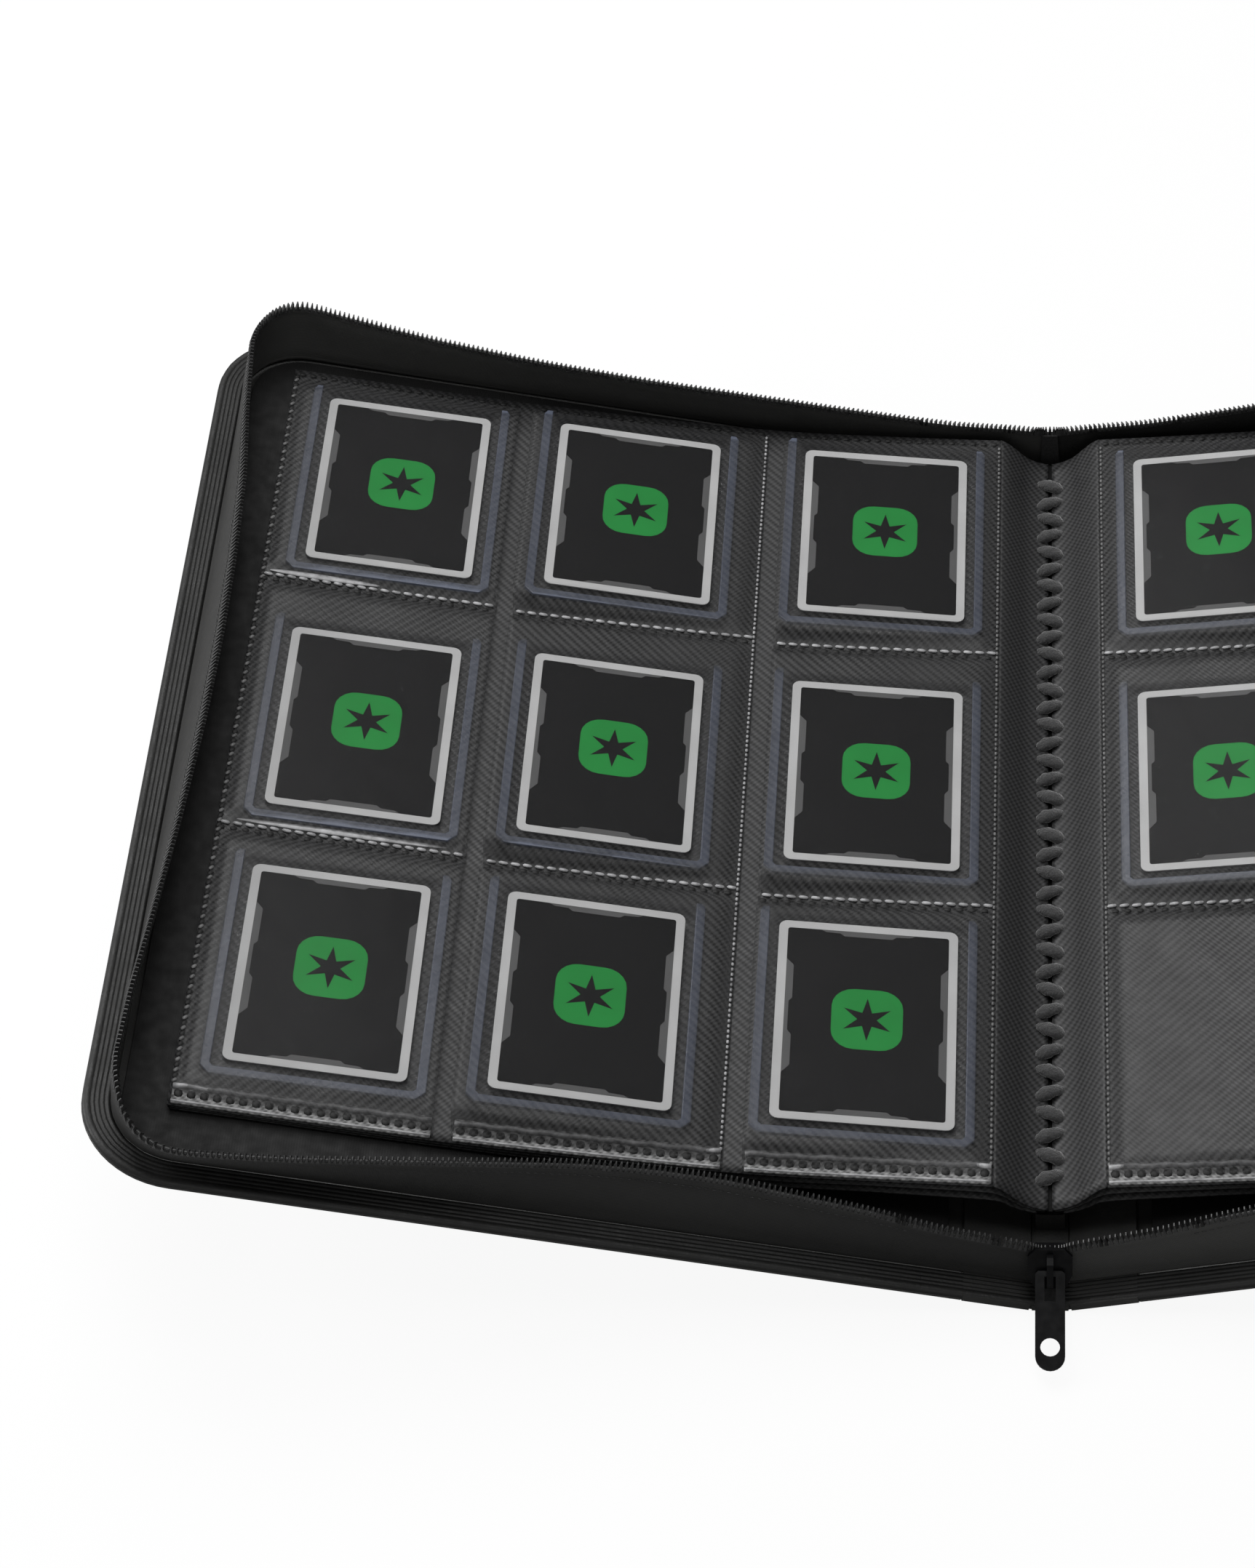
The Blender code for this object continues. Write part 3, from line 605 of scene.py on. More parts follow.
def wall_knots():
    """Foot, outward direction, lean and length of the wall at its stations."""
    edge = COVER_EDGE - WALL_INSET
    tail = COVER_TAIL + WALL_INSET
    head = COVER_HEAD - WALL_INSET
    radius = CORNER_RADIUS - WALL_INSET
    knots = [(s, tail, 0.0, -1.0, lean, length) for s, lean, length in TAIL_WALL]
    knots += corner_knots(edge - radius, tail + radius, radius, -math.pi / 2, TAIL_CORNER_LEAN)
    knots += [(edge, y, 1.0, 0.0, lean, WALL_LENGTH) for y, lean in SIDE_WALL]
    knots += corner_knots(edge - radius, head - radius, radius, 0.0, HEAD_CORNER_LEAN)
    knots += [(s, head, 0.0, 1.0, lean, length) for s, lean, length in HEAD_WALL]
    return np.asarray(knots)


def wall_path(pitch):
    """Even stations round the wall's foot, with smoothed leans."""
    knots = wall_knots()
    length = running_length(knots[:, :2])
    even = np.linspace(0.0, length[-1], int(length[-1] / pitch) + 1)
    path = np.stack([np.interp(even, length, knots[:, k]) for k in range(6)], axis=1)
    path[:, 2:4] /= np.linalg.norm(path[:, 2:4], axis=1)[:, None]
    path = np.column_stack([path, even])
    reach = max(1, int(9.0 / pitch))
    weights = np.hanning(2 * reach + 3)[1:-1]
    for k in (4, 5):
        padded = np.pad(path[:, k], reach, mode="edge")
        path[:, k] = np.convolve(padded, weights / weights.sum(), mode="valid")
    return path


def wall_point(side, station, out, climb, lift=BORDER_TOP):
    """out millimetres outwards from the foot at height lift, then climb up the leaning wall."""
    s, y, out_x, out_y, lean = station[:5]
    lean = math.radians(lean)
    away = out - climb * math.sin(lean)
    return cover_point(side, s + out_x * away, y + out_y * away, lift + climb * math.cos(lean))


def border_profile():
    """(distance outwards, height) across the border: a rolled edge, then fine raised ribs."""
    profile = [(8.2, 0.7), (9.2, 0.8), (9.8, 1.3), (10.0, 2.1), (9.75, 2.9)]
    profile += [(9.1, 3.35), (8.2, 3.45), (7.3, 3.2)]
    for rib in range(4):
        centre = 6.3 - 1.65 * rib
        for angle in (0.0, 45.0, 90.0, 135.0, 180.0):
            turn = math.radians(angle)
            profile.append((centre + 0.65 * math.cos(turn), 2.9 + 0.28 * math.sin(turn)))
    return profile + [(0.4, 2.3), (0.1, 2.2)]


def wall_profile(length):
    """(bulge outwards, climb) up the tape: a sewn hem at the foot and a fold under the teeth."""
    shares = (0.0, 0.03, 0.07, 0.11, 0.2, 0.32, 0.45, 0.58, 0.7, 0.79, 0.83, 0.87, 0.93)
    rise = []
    for share in shares:
        bulge = 0.7 * math.sin(math.pi * share)
        bulge += 0.35 * math.exp(-(((share - 0.05) / 0.03) ** 2))
        bulge += 0.3 * math.exp(-(((share - 0.85) / 0.03) ** 2))
        rise.append((bulge, share * length))
    return rise


def wall_uvs(path, profile):
    """Millimetres round the wall and across it, so that texture runs on over the seams."""
    across = running_length(np.asarray(profile))
    return np.stack(np.meshgrid(across, path[:, 6]), axis=2)


def split_path(path, stretch):
    """The wall's parts: over the cover, across each crease and over the spine."""
    s = path[:, 0]
    on_cover = np.nonzero(s >= stretch[1])[0]
    on_panel = np.nonzero(s >= stretch[0])[0]
    tail_panel, tail_cover = on_panel[0], on_cover[0]
    head_cover, head_panel = on_cover[-1], on_panel[-1]
    return {
        "cover": path[tail_cover : head_cover + 1],
        "crease_tail": path[tail_panel : tail_cover + 2],
        "crease_head": path[head_cover - 1 : head_panel + 1],
        "spine_tail": path[: tail_panel + 2],
        "spine_head": path[head_panel - 1 :],
    }


def wall_parts(stretch):
    """(part, stations, inset) of a sheet; stations close to the ends keep the ends' shading narrow."""
    for part, path in split_path(wall_path(WALL_PITCH), stretch).items():
        first = path[0] + (path[1] - path[0]) * 0.03
        last = path[-1] + (path[-2] - path[-1]) * 0.03
        path = np.vstack([path[:1], first[None], path[1:-1], last[None], path[-1:]])
        yield part, path, PART_INSET[part.split("_")[0]]


def attach(obj, side_name, part):
    """Rides the cover; the pieces across the crease and the spine fold are baked where they lie."""
    if part == "cover":
        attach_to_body(obj, side_name + "_cover")
    elif part.startswith("crease"):
        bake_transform(obj)
    else:
        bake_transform(obj)


def make_wall(side_name, side):
    border = border_profile()
    for part, path, inset in wall_parts(BORDER_STRETCH):
        inner = [(out - inset, height - inset) for out, height in border]
        rows = [[wall_point(side, station, out, 0.0, height) for out, height in inner] for station in path]
        uvs = wall_uvs(path, border)
        piping = grid_object(side_name + "_border_" + part, rows, BORDER, BORDER_THICKNESS, side, uvs)
        piping.modifiers["shell"].use_even_offset = False
        attach(piping, side_name, part)
    for part, path, inset in wall_parts(TAPE_STRETCH):
        rows = []
        for station in path:
            own = wall_profile(station[5])
            rows.append([wall_point(side, station, out - inset, climb, TAPE_FOOT) for out, climb in own])
        uvs = wall_uvs(path, own)
        thickness = WALL_THICKNESS - 2 * inset
        tape = grid_object(side_name + "_tape_" + part, rows, TAPE, thickness, side, uvs)
        tape.data.materials.append(TAPE_INNER)
        tape.modifiers["shell"].material_offset = 1
        tape.modifiers["shell"].use_even_offset = False
        attach(tape, side_name, part)
        if part == "cover":
            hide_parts(side_name + "_gusset")
    for part, path in split_path(wall_path(TOOTH_PITCH), TAPE_STRETCH).items():
        teeth = make_teeth(side_name + "_teeth_" + part, side, path)
        attach(teeth, side_name, part)
        if part == "cover":
            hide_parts(side_name + "_zipper_teeth")


def make_teeth(name, side, path):
    """Coil teeth: small tapered loops standing across the tape's edge, over a round core."""
    vertices = []
    faces = []
    for station in path:
        length = station[5]
        top = wall_point(side, station, 0.0, length)
        low = wall_point(side, station, 0.0, length - 2.9)
        up = (top - low) / np.linalg.norm(top - low)
        out = wall_point(side, station, 1.0, length) - top
        out -= up * (out @ up)
        out /= np.linalg.norm(out)
        along = np.cross(up, out)
        middle = low - out * 0.5
        start = len(vertices)
        for height, reach, width in ((0.0, 1.25, 0.62), (3.4, 0.6, 0.18)):
            for a, b in CORNERS:
                vertices.append(middle + up * height + along * a * width + out * b * reach)
        faces += [face[::-1] for face in closed_faces(start, 2, 4)]
    return new_object(name, vertices, faces, TEETH, smooth=False)


def make_core(side_name, side):
    """The coil's round body and the stitches that hold it, along the cover's part of the wall."""
    path = split_path(wall_path(WALL_PITCH), TAPE_STRETCH)["cover"]
    line = [wall_point(side, station, -0.5, station[5] - 2.6) for station in path]
    core = tube(side_name + "_coil_core", line, 0.75, TEETH, 6)
    place_piece(core, side_name + "_cover")
    places = []
    for station in split_path(wall_path(2.6), TAPE_STRETCH)["cover"]:
        climb = station[5] - STITCH_DROP
        here = wall_point(side, station, 0.5, climb)
        up = wall_point(side, station, 0.5, climb + 1.0) - here
        out = wall_point(side, station, 1.5, climb) - here
        places.append((here, np.cross(up, out), out))
    seam = bumps(side_name + "_tape_stitches", places, (0.9, 0.22, 0.22), TEETH, sides=6)
    place_piece(seam, side_name + "_cover")


def make_cover(side_name, side):
    place = cover_matrix(side)
    outline = cover_outline(CREASE_S - 1.2, 0.0)
    skin = plate(side_name + "_cover_shell", outline, *SKIN_LEVELS, LEATHER, place, 0.45)
    place_piece(skin, side_name + "_cover", side_name + "_cover_skin")
    outline = cover_outline(LINING_START, LINING_INSET)
    lining = plate(side_name + "_lining_sheet", outline, *LINING_LEVELS, LINING, place, 0.25)
    place_piece(lining, side_name + "_cover", side_name + "_cover_lining")
    repaint(side_name + "_cover_board", BOARD, 0.3, 2)
    make_seam(side_name, side)
    make_wall(side_name, side)
    make_core(side_name, side)


def make_seam(side_name, side):
    """Stitches that show on the outside of the cover, just inside its edge."""
    places = []
    for station in split_path(wall_path(4.2), BORDER_STRETCH)["cover"]:
        s, y, out_x, out_y = station[:4]
        here = cover_point(side, s + out_x * 6.0, y + out_y * 6.0, 0.0)
        ahead = cover_point(side, s + out_x * 6.0 - out_y, y + out_y * 6.0 + out_x, 0.0)
        places.append((here, ahead - here, (0.0, 0.0, 1.0)))
    seam = bumps(side_name + "_outer_stitches", places, (1.5, 0.35, 0.3), CORD, sides=6)
    place_piece(seam, side_name + "_cover")


def repaint(node, material, bevel, segments=3):
    """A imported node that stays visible: new material and rounded edges."""
    obj = frame["nodes"][node]
    obj.data.materials.clear()
    obj.data.materials.append(material)
    soften(obj, bevel, segments)


def make_spine():
    repaint("spine_strip", LEATHER_3D, 0.5)
    repaint("binding_strip", LEATHER_3D, 0.8)
    for side_name, side in SIDES.items():
        repaint(side_name + "_spine_panel", LEATHER_3D, 0.7)
        for name, low, high, bodies in (
            ("_fold_skin", -1.6, 2.6, ("spine", side_name + "_spine_panel")),
            ("_crease_skin", 22.8, 28.2, (side_name + "_spine_panel", side_name + "_cover")),
        ):
            rows = []
            for y in np.linspace(COVER_TAIL + 0.1, COVER_HEAD - 0.1, 60):
                row = []
                for share in np.linspace(0.0, 1.0, 13):
                    dip = 0.55 * math.sin(math.pi * share) ** 2
                    row.append(cover_point(side, low + (high - low) * share, y, 0.1 + dip))
                rows.append(row)
            skin = grid_object(side_name + name, rows, LEATHER, 0.5, side)
            start = Vector(rows[0][2]) * MM
            end = Vector(rows[0][10]) * MM
            start.y = end.y = 0.0
            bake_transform(skin)


# Leaves and pockets


TOP_LEAF_LINE = smooth_line(TOP_LEAF, 160)


def leaf_height(x):
    return np.interp(x, TOP_LEAF_LINE[:, 0], TOP_LEAF_LINE[:, 1])


def make_sheet(name, side, line, material, thickness, steps):
    """A leaf along the spine whose section follows the line."""
    section = smooth_line(line, steps)
    rows = [[(side * x, y, z) for x, z in section] for y in np.linspace(LEAF_TAIL, LEAF_HEAD, LEAF_STATIONS)]
    return grid_object(name, rows, material, thickness, -side)


def film_height(column, x, lift):
    base = leaf_height(x) + FILM_GAP
    top = column["z"] + FILM_LIFT + (x - column["x"]) * math.tan(math.radians(column["rise"]))
    return base + np.maximum(top - base, 0.0) * lift


def make_film(side_name, side, column_name):
    """One column of pockets: pressed down at the welds, stretched over the sleeves between."""
    column = COLUMNS[column_name]
    weld, mouth = column["weld"], column["mouth"]
    away = math.copysign(1.0, mouth - weld)
    xs = np.linspace(weld, mouth, 44)
    ys = np.linspace(ROW_WELDS[0] - 0.9, ROW_WELDS[-1] + 0.9, 176)
    rng = np.random.default_rng(len(side_name + column_name))
    ripple = rng.uniform(0.0, 6.28, 6)
    half = CARD[0] / 2 * math.cos(math.radians(column["rise"]))
    middle = column["x"] - half
    rows = []
    haze_and_sheen = []
    for y in ys:
        near = min(abs(y - w) for w in seam_rows(column_name))
        lift_y = smooth_step((near - 0.7) / 8.0)
        lift_x = smooth_step((np.abs(xs - weld) - 0.4) / 6.5)
        wrinkle = 0.16 * np.sin(xs / 5.5 + ripple[0] + 0.05 * y) * np.sin(y / 9.0 + ripple[1])
        pull = math.exp(-(((near - 4.5) / 3.0) ** 2))
        wrinkle += 0.28 * pull * np.sin(xs / 2.7 + ripple[2] + np.sin(xs / 17.0 + ripple[3]))
        z = film_height(column, xs, lift_x * lift_y) + wrinkle * lift_x * lift_y
        z = np.maximum(z, leaf_height(xs) + FILM_GAP)
        rows.append([(side * x, y, h) for x, h in zip(xs, z)])
        inside_x = half + 3.2 - np.abs(xs - middle)
        inside_y = max(min(top + 3.2 - y, y - (top - CARD[1] - 3.2)) for top in CARD_HEADS)
        over_card = smooth_step(np.minimum(inside_x, inside_y) / 2.4)
        sleeve_x = SLEEVE[0] / 2 - np.abs(xs - middle)
        sleeve_y = max(min(top + 4.0 - y, y - (top + SLEEVE_OVER_CARD - SLEEVE[1])) for top in CARD_HEADS)
        over_sleeve = smooth_step(np.minimum(sleeve_x, sleeve_y) / 1.2)
        # Haze with painted sheen: full over the bare leaf, less over a sleeve, least over a card
        haze_and_sheen.append((1.0 - over_card) * (1.0 - 0.45 * over_sleeve))
    film = grid_object(side_name + "_film_" + column_name, rows, FILM, FILM_THICKNESS, side * away)
    values = np.asarray(haze_and_sheen)
    filled = len(sleeves_in(side_name, column_name))
    empty_from = CARD_HEADS[filled - 1] - CARD[1] - 14.0 if filled else 400.0
    values[ys < empty_from] = 1.0
    attribute = film.data.attributes.new("haze_and_sheen", "FLOAT", "POINT")
    attribute.data.foreach_set("value", (0.01 + 0.34 * values).astype(np.float32).ravel())
    place_piece(film, side_name + "_top_leaf", side_name + "_pocket_film_" + column_name)
    make_welds(side_name, side, column_name)


def sleeves_in(side_name, column_name):
    """Labels of the sleeves in a column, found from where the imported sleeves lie."""
    column = COLUMNS[column_name]
    found = []
    for node in frame["nodes"]:
        if not node.startswith("card_" + side_name):
            continue
        low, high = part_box(node)
        outer = max(abs(low.x), abs(high.x)) / MM
        if abs(outer - column["x"]) < 6.0:
            found.append(node[len("card_"):])
    return found


def weld_places(side, start, end, pitch, lift, turn=0.0):
    """Even places on the leaf from start to end, each (centre, long axis, up axis)."""
    start, end = np.asarray(start, float), np.asarray(end, float)
    span = np.linalg.norm(end - start)
    direction = (end - start) / span
    count = max(2, int(span / pitch))
    c, s = math.cos(turn), math.sin(turn)
    dx, dy = direction[0] * c - direction[1] * s, direction[0] * s + direction[1] * c
    places = []
    for i in range(count):
        x, y = start + direction * (i + 0.5) * span / count
        slope = leaf_height(x + 0.5) - leaf_height(x - 0.5)
        up = (-side * slope, 0.0, 1.0)
        along = (side * dx, dy, dx * slope)
        places.append(((side * x, y, leaf_height(x) + lift), along, up))
    return places


def seam_rows(column_name):
    """Where a column's pockets are pressed shut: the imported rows, drawn towards the sleeve above."""
    shift = ROW_SHIFT[column_name]
    return (ROW_WELDS[0], ROW_WELDS[1] + shift, ROW_WELDS[2] + shift, ROW_WELDS[3])


def make_tail_edge(tag, side, low, high, row):
    """The column's tail edge: a flat welded band between two melted beads."""
    rail = np.linspace(low, high, 40)
    band = []
    for out, lift in ((-1.4, 0.35), (-1.2, 0.7), (-0.6, 0.85), (0.2, 0.6), (4.6, 0.55), (8.0, 0.4)):
        band.append([(side * x, row + out, leaf_height(x) + lift) for x in rail])
    ladder = grid_object(tag + "_ladder", band, WELD_BAND, 0.25, side)
    # The upper and lower beads carry the weld grey, a painted highlight
    line = [(side * x, row + 5.9 + 0.25 * math.sin(x / 1.9), leaf_height(x) + 1.0) for x in rail]
    bead = tube(tag + "_bead", line, 1.05, WELD_HIGHLIGHT)
    line = [(side * x, row - 0.5, leaf_height(x) + 0.9) for x in rail]
    return ladder, bead, tube(tag + "_lower_bead", line, 0.5, WELD_HIGHLIGHT)


def make_sheen_folds(tag, side, rows):
    """Two long creases of the film beside the outer column's welds; their bright weld grey is a painted
    highlight, the light that they catch.
    """
    folds = []
    for label, x, y, reach in (
        ("_fold_low", 252.0, rows[1] + 3.4, 38.0),
        ("_fold_high", 272.0, rows[2] + 3.0, 21.0),
    ):
        place = weld_places(side, (x, y), (x + 1.0, y), 0.5, 1.2)[:1]
        folds.append(bumps(tag + label, place, (reach, 1.5, 0.45), WELD_HIGHLIGHT, 1.0, 24))
    return folds


def make_welds(side_name, side, column_name):
    """Pressed seams: dashes between the rows, rungs along the tail, beads up the column."""
    column = COLUMNS[column_name]
    low, high = sorted((column["weld"], column["mouth"]))
    low, high = low + WELD_MARGIN, high - WELD_MARGIN
    rows = seam_rows(column_name)
    tag = side_name + "_" + column_name
    pieces = list(make_tail_edge(tag, side, low, high, rows[0]))
    dashes = []
    pits = []
    for y in rows[1:3]:
        dashes += weld_places(side, (low, y + 1.1), (high, y + 1.1), DASH_PITCH, 1.0, 0.12)
        pits += weld_places(side, (low + 1.2, y - 1.3), (high + 1.2, y - 1.3), DASH_PITCH, 0.75)
    pits += weld_places(side, (low, rows[3] + 1.4), (high, rows[3] + 1.4), HEAD_PIT_PITCH, 0.55)
    rungs = weld_places(side, (low, rows[0] + 2.9), (high, rows[0] + 2.9), RUNG_PITCH, 0.8, math.pi / 2)
    x = column["weld"] + math.copysign(0.9, column["mouth"] - column["weld"])
    start, end = (x, rows[0] + 6.0), (x, rows[3])
    if column_name == "outer":
        uprights = weld_places(side, start, end, OUTER_WELD_PITCH, 0.75, OUTER_WELD_TURN)
        upright_half = (1.2, 0.75, 0.4)
        pieces += make_sheen_folds(tag, side, rows)
        start, end = (x, rows[0] + 8.3), (x, rows[3] + 2.0)
        pits += weld_places(side, start, end, OUTER_WELD_PITCH, 0.6, OUTER_WELD_TURN)
    else:
        uprights = weld_places(side, start, end, INNER_WELD_PITCH, 0.75)
        upright_half = (0.8, 0.55, 0.4)
    # Dashes, and the middle column's uprights, carry the weld grey, a painted highlight
    pieces.append(bumps(tag + "_dashes", dashes, (1.8, 0.8, 0.5), WELD_HIGHLIGHT))
    pieces.append(bumps(tag + "_pits", pits, (1.3, 0.95, 0.35), PIT))
    pieces.append(bumps(tag + "_rungs", rungs, (1.75, 1.6, 0.55), PIT))
    upright_look = WELD_HIGHLIGHT if column_name == "middle" else LEAF_EDGE
    pieces.append(bumps(tag + "_uprights", uprights, upright_half, upright_look))
    for piece in pieces:
        place_piece(piece, side_name + "_top_leaf")


def make_leaves(side_name, side):
    top = make_sheet(side_name + "_top_leaf_sheet", side, TOP_LEAF, LEAF, TOP_LEAF_THICKNESS, 90)
    place_piece(top, side_name + "_top_leaf", side_name + "_leaf_sheet")
    for label, line, steps, look, node in (
        ("_gutter_sheet", GUTTER_SHEET, 16, LEAF, "_gutter_film"),
        ("_second_leaf", LEAF_TWO, 70, LEAF_SHADED, "_leaf_two"),
        ("_third_leaf", LEAF_THREE, 70, LEAF_SHADED, "_leaf_three"),
    ):
        sheet = make_sheet(side_name + label, side, line, look, LOWER_LEAF_THICKNESS, steps)
        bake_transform(sheet)
        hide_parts(side_name + node)
    for column_name in COLUMNS:
        make_film(side_name, side, column_name)


def make_cord():
    """Saddle stitch along the gutter: fat slanted stitches of twisted cord, one over the other."""
    low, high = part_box("stitch_cord")
    tail, head = low.y / MM, high.y / MM
    vertices = []
    faces = []
    rings, sides = 15, 14
    rng = random.Random(7)
    up = np.asarray((0.0, 0.0, 1.0))
    for i in range(STITCHES):
        middle = tail + (head - tail) * (i + 0.5) / STITCHES + rng.uniform(-0.3, 0.3)
        lean = 1 if i % 2 == 0 else -1
        a = np.asarray((-STITCH_REACH, middle - lean * STITCH_SLANT, STITCH_HEIGHT))
        b = np.asarray((STITCH_REACH, middle + lean * STITCH_SLANT, STITCH_HEIGHT))
        across = np.cross(up, (b - a) / np.linalg.norm(b - a))
        start = len(vertices)
        for share in np.linspace(0.0, 1.0, rings):
            full = math.sin(math.pi * min(max(share, 0.01), 0.99)) ** 0.42
            taper = 0.85 + 0.3 * share if lean < 0 else 1.12 - 0.35 * share
            girth = STITCH_GIRTH * full * taper
            centre = a + (b - a) * share + up * 1.1 * math.sin(math.pi * share)
            for j in range(sides):
                turn = 2 * math.pi * j / sides
                twist = 1.0 + 0.09 * math.sin(4 * turn + 16.0 * share) + rng.uniform(-0.03, 0.03)
                offset = across * math.cos(turn) * girth * twist + up * math.sin(turn) * girth * 0.66 * twist
                vertices.append(centre + offset)
        faces += closed_faces(start, rings, sides)
    cord = new_object("saddle_stitch", vertices, faces, CORD)
    place_piece(cord, "spine", "stitch_cord")
    # Near black, for painted shade in the gutter
    repaint("gutter_fold", GUTTER_SHADE, 0.4)


# Cards, sleeves and slider


def card_outline(width, height, radius):
    x, y = width / 2 - radius, height / 2 - radius
    outline = arc(x, y, radius, 0, 90, 5) + arc(-x, y, radius, 90, 180, 5)
    return outline + arc(-x, -y, radius, 180, 270, 5) + arc(x, -y, radius, 270, 360, 5)


def star(points, outer, inner, turn):
    shape = []
    for i in range(2 * points):
        radius = inner if i % 2 else outer
        angle = math.pi * i / points + turn
        shape.append((radius * math.cos(angle), radius * math.sin(angle)))
    return shape


def card_layers():
    """Printed shapes of a card: (label, outline, height of its top, material)."""
    width, height = CARD[:2]
    inner_x, inner_y = width / 2 - CARD_BORDER, height / 2 - CARD_BORDER
    layers = [("border", card_outline(width, height, 3.0), 0.0, CARD_EDGE)]
    face = card_outline(2 * inner_x, 2 * inner_y, 1.0)
    layers.append(("face", face, 0.04, CARD_FACE))
    for end in (-1, 1):
        tab = [(-17.0, inner_y), (-15.0, inner_y - 1.0), (-10.0, inner_y - 1.2), (-8.5, inner_y - 2.4)]
        tab += [(-x, y) for x, y in reversed(tab)]
        layers.append(("tab", [(x, end * y) for x, y in tab], 0.07, CARD_TAB))
        step = [(inner_x, 27.0), (inner_x - 2.6, 24.0), (inner_x - 2.6, 9.0), (inner_x - 1.4, 7.5)]
        step += [(inner_x - 1.4, -5.5), (inner_x - 2.8, -7.5), (inner_x - 2.8, -21.0), (inner_x, -24.5)]
        layers.append(("tab", [(end * x, y) for x, y in step], 0.07, CARD_TAB))
    badge = card_outline(25.0, 27.0, 8.0)
    layers.append(("badge", [(x + 0.5, y + 1.5) for x, y in badge], 0.07, CARD_GREEN))
    layers.append(("spark", [(x + 0.5, y + 1.5) for x, y in star(6, 9.5, 3.4, math.pi / 2)], 0.1, CARD_FACE))
    return layers


def card_mesh():
    """One mesh for every card, with a material slot for each printed colour."""
    vertices, faces, slots = [], [], []
    materials = [CARD_EDGE, CARD_FACE, CARD_TAB, CARD_GREEN]
    for label, outline, top, material in card_layers():
        area = sum(x0 * y1 - x1 * y0 for (x0, y0), (x1, y1) in zip(outline, outline[1:] + outline[:1]))
        if area < 0:
            outline = outline[::-1]
        low = -CARD[2] if label == "border" else top - 0.03
        start, count = len(vertices), len(outline)
        vertices += [(x, y, low) for x, y in outline] + [(x, y, top) for x, y in outline]
        own = closed_faces(start, 2, count)
        faces += own
        slots += [materials.index(material)] * len(own)
    card = new_object("card_pattern", vertices, faces, CARD_EDGE, smooth=False)
    for material in materials[1:]:
        card.data.materials.append(material)
    card.data.polygons.foreach_set("material_index", slots)
    mesh = card.data
    bpy.data.objects.remove(card)
    return mesh


def sleeve_meshes():
    """The rigid sleeve: a U-shaped frame with slanted arm ends, and a clear front."""
    top = CARD[1] / 2 + SLEEVE_OVER_CARD
    bottom = top - SLEEVE[1]
    half = SLEEVE[0] / 2
    inner = half - SLEEVE_ARM
    cut = bottom + SLEEVE_ARM
    outline = [(-half, top - 2.2), (-half, cut), (-inner, bottom), (inner, bottom)]
    outline += [(half, cut), (half, top - 2.2), (half - 1.2, top - 0.2), (inner, top - 0.2)]
    outline += [(inner, cut + 1.2), (inner - 1.2, cut), (1.2 - inner, cut), (-inner, cut + 1.2)]
    outline += [(-inner, top - 0.2), (1.2 - half, top - 0.2)]
    surface = 0.5
    rim = plate("sleeve_rim", outline, surface - SLEEVE[2], surface, RIM)
    clear = inner - 0.1
    window = [(-clear, cut + 1.3), (clear, cut + 1.3), (clear, top - 0.6), (-clear, top - 0.6)]
    front = plate("sleeve_front", window, surface - 0.25, surface - 0.1, SLEEVE_CLEAR)
    meshes = (rim.data, front.data)
    for obj in (rim, front):
        bpy.data.objects.remove(obj)
    return meshes


def make_cards():
    card_data = card_mesh()
    rim_data, front_data = sleeve_meshes()
    for side_name, side in SIDES.items():
        for column_name, column in COLUMNS.items():
            for label in sleeves_in(side_name, column_name):
                low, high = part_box("card_" + label)
                turn = Matrix.Rotation(-side * math.radians(column["rise"]), 4, "Y")
                up = turn @ Vector((0.0, 0.0, CARD[2] / 2 * MM))
                place = Matrix.Translation((low + high) / 2 + up) @ turn
                for name, data, slot, node in (
                    ("print_" + label, card_data, "card", "card_" + label),
                    ("rim_" + label, rim_data, "card_sleeve", "card_sleeve_" + label),
                    ("front_" + label, front_data, "card_sleeve", None),
                ):
                    obj = linked(name, data)
                    obj.matrix_world = place
                    if data is rim_data:
                        soften(obj, 0.35, 2)
                    place_piece(obj, "card_sleeve_" + label, node)


def make_slider():
    repaint("slider_body", METAL, 0.5)
    repaint("pull_tab", METAL, 0.35)
    repaint("zipper_tail", TAPE_END, 0.3)
    repaint("zipper_head", TAPE_END, 0.4)


# Studio


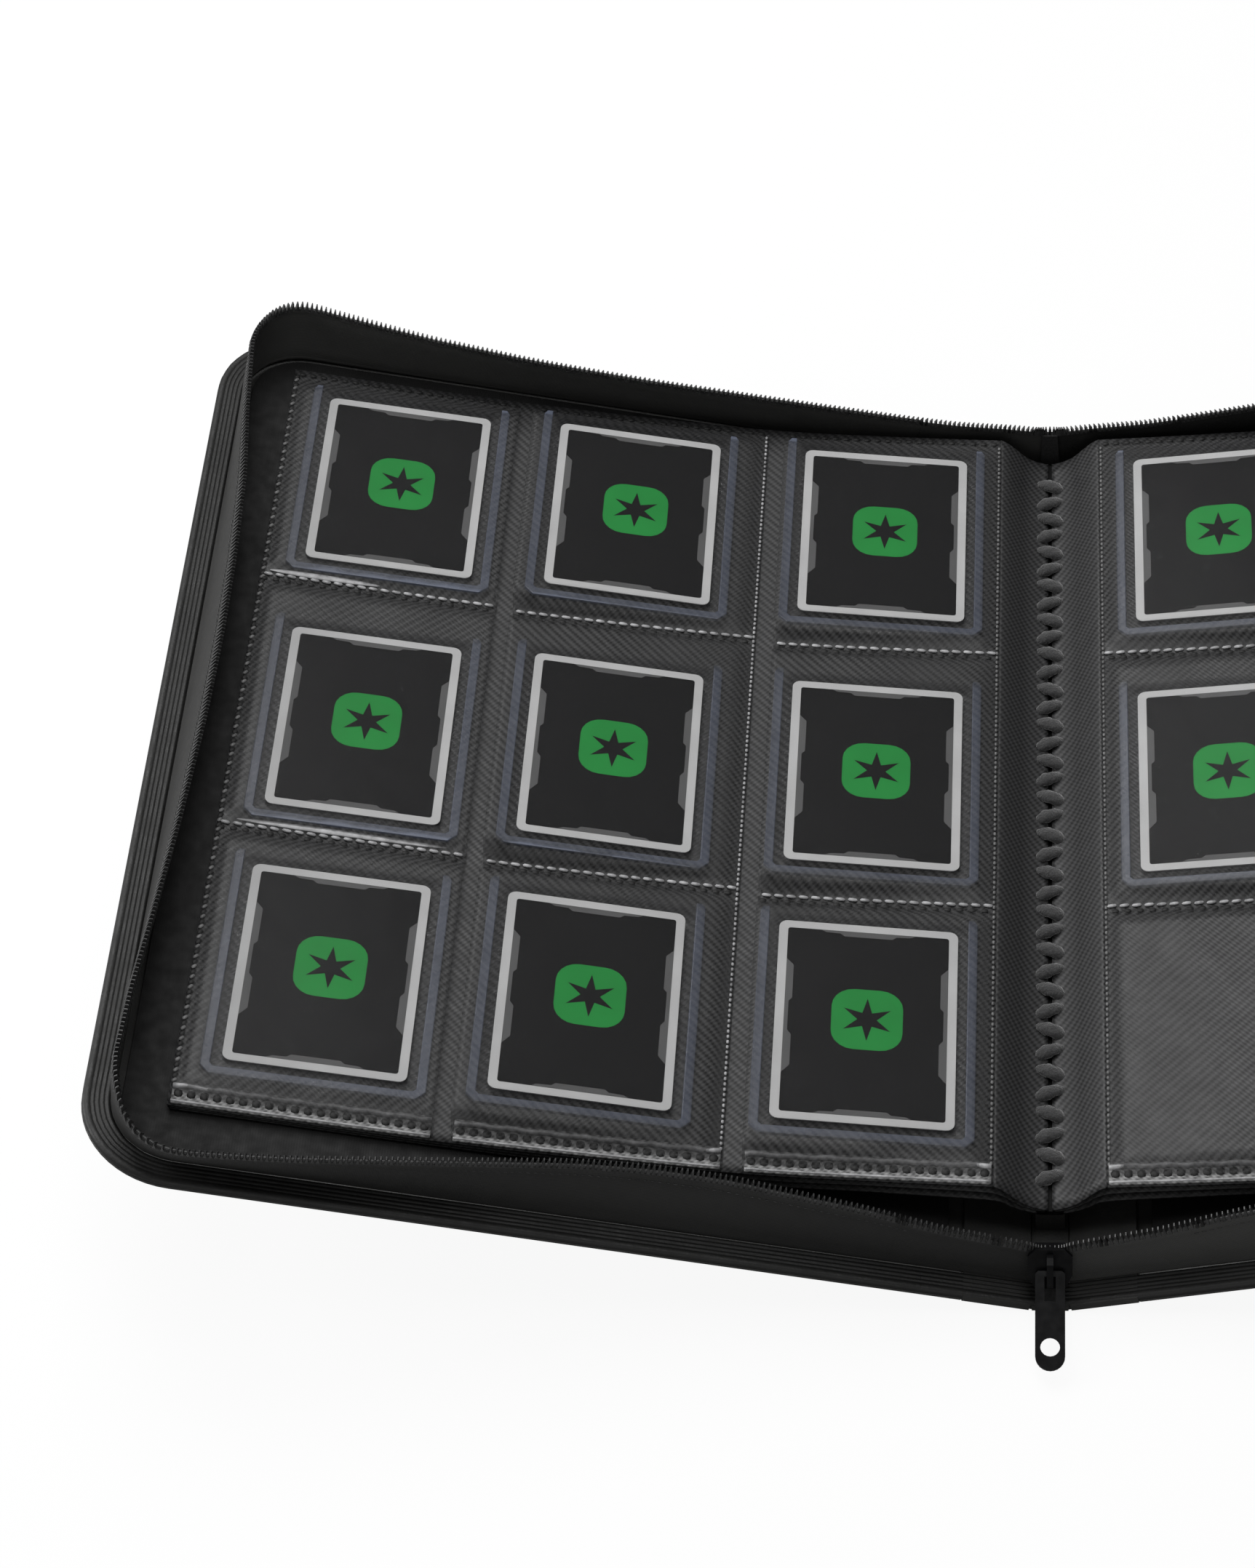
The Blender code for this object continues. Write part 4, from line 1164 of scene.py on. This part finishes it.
def make_floor():
    """A floor that stays white to the camera and throws little light back up."""
    look = Look("studio_floor", (0.30, 0.30, 0.30), 0.9, uv=False, gloss=0.0)
    look.tint(look.noise(400.0), 0.97, 1.03)
    rays = look.nodes.new("ShaderNodeLightPath")
    white = look.nodes.new("ShaderNodeEmission")
    white.inputs["Strength"].default_value = 1.12
    mix = look.nodes.new("ShaderNodeMixShader")
    look.links.new(look.calc("MULTIPLY", rays.outputs["Is Camera Ray"], 0.82), mix.inputs["Fac"])
    look.links.new(look.shader.outputs["BSDF"], mix.inputs[1])
    look.links.new(white.outputs["Emission"], mix.inputs[2])
    look.links.new(mix.outputs["Shader"], look.nodes["Material Output"].inputs["Surface"])
    corners = [(x * FLOOR_HALF, y * FLOOR_HALF, FLOOR_LEVEL) for x, y in CORNERS]
    new_object("floor", corners, [(0, 1, 2, 3)], look.material)


def make_studio():
    make_floor()
    world = bpy.data.worlds.new("studio")
    world.use_nodes = True
    sky = world.node_tree.nodes["Background"].inputs
    sky["Color"].default_value = (1.0, 1.0, 1.0, 1.0)
    sky["Strength"].default_value = 0.22
    bpy.context.scene.world = world
    for name, at, target, size, power in (
        ("key", (-450, 800, 1500), (0, 0, 40), 1.1, 26.0),
        ("top", (150, -150, 1900), (0, 0, 40), 0.8, 9.0),
        ("side", (-1300, 100, 600), (-250, 0, 60), 0.8, 14.0),
        ("fill", (0, -1400, 600), (0, 100, 60), 1.2, 4.5),
    ):
        light = bpy.data.lights.new(name, "AREA")
        light.energy = power
        light.size = size
        lamp = linked(name, light)
        lamp.location = Vector(at) * MM
        lamp.rotation_euler = (Vector(target) - Vector(at)).to_track_quat("-Z", "Y").to_euler()


def make_camera():
    level = Vector((math.cos(CAMERA_YAW), math.sin(CAMERA_YAW), 0.0))
    ahead = Vector((-level.y, level.x, 0.0))
    forward = ahead * math.cos(CAMERA_PITCH) - Vector((0.0, 0.0, math.sin(CAMERA_PITCH)))
    over = level.cross(forward)
    right = math.cos(CAMERA_ROLL) * level + math.sin(CAMERA_ROLL) * over
    up = -math.sin(CAMERA_ROLL) * level + math.cos(CAMERA_ROLL) * over
    data = bpy.data.cameras.new("camera")
    data.lens = CAMERA_LENS
    camera = linked("camera", data)
    turn = Matrix((right, up, -forward)).transposed().to_4x4()
    camera.matrix_world = Matrix.Translation(Vector(CAMERA_AT) * MM) @ turn
    bpy.context.scene.camera = camera


def main():
    make_spine()
    for side_name, side in SIDES.items():
        make_cover(side_name, side)
        make_leaves(side_name, side)
    make_cord()
    make_cards()
    make_slider()
    make_studio()
    make_camera()
    bpy.context.scene.view_settings.view_transform = "Standard"


main()
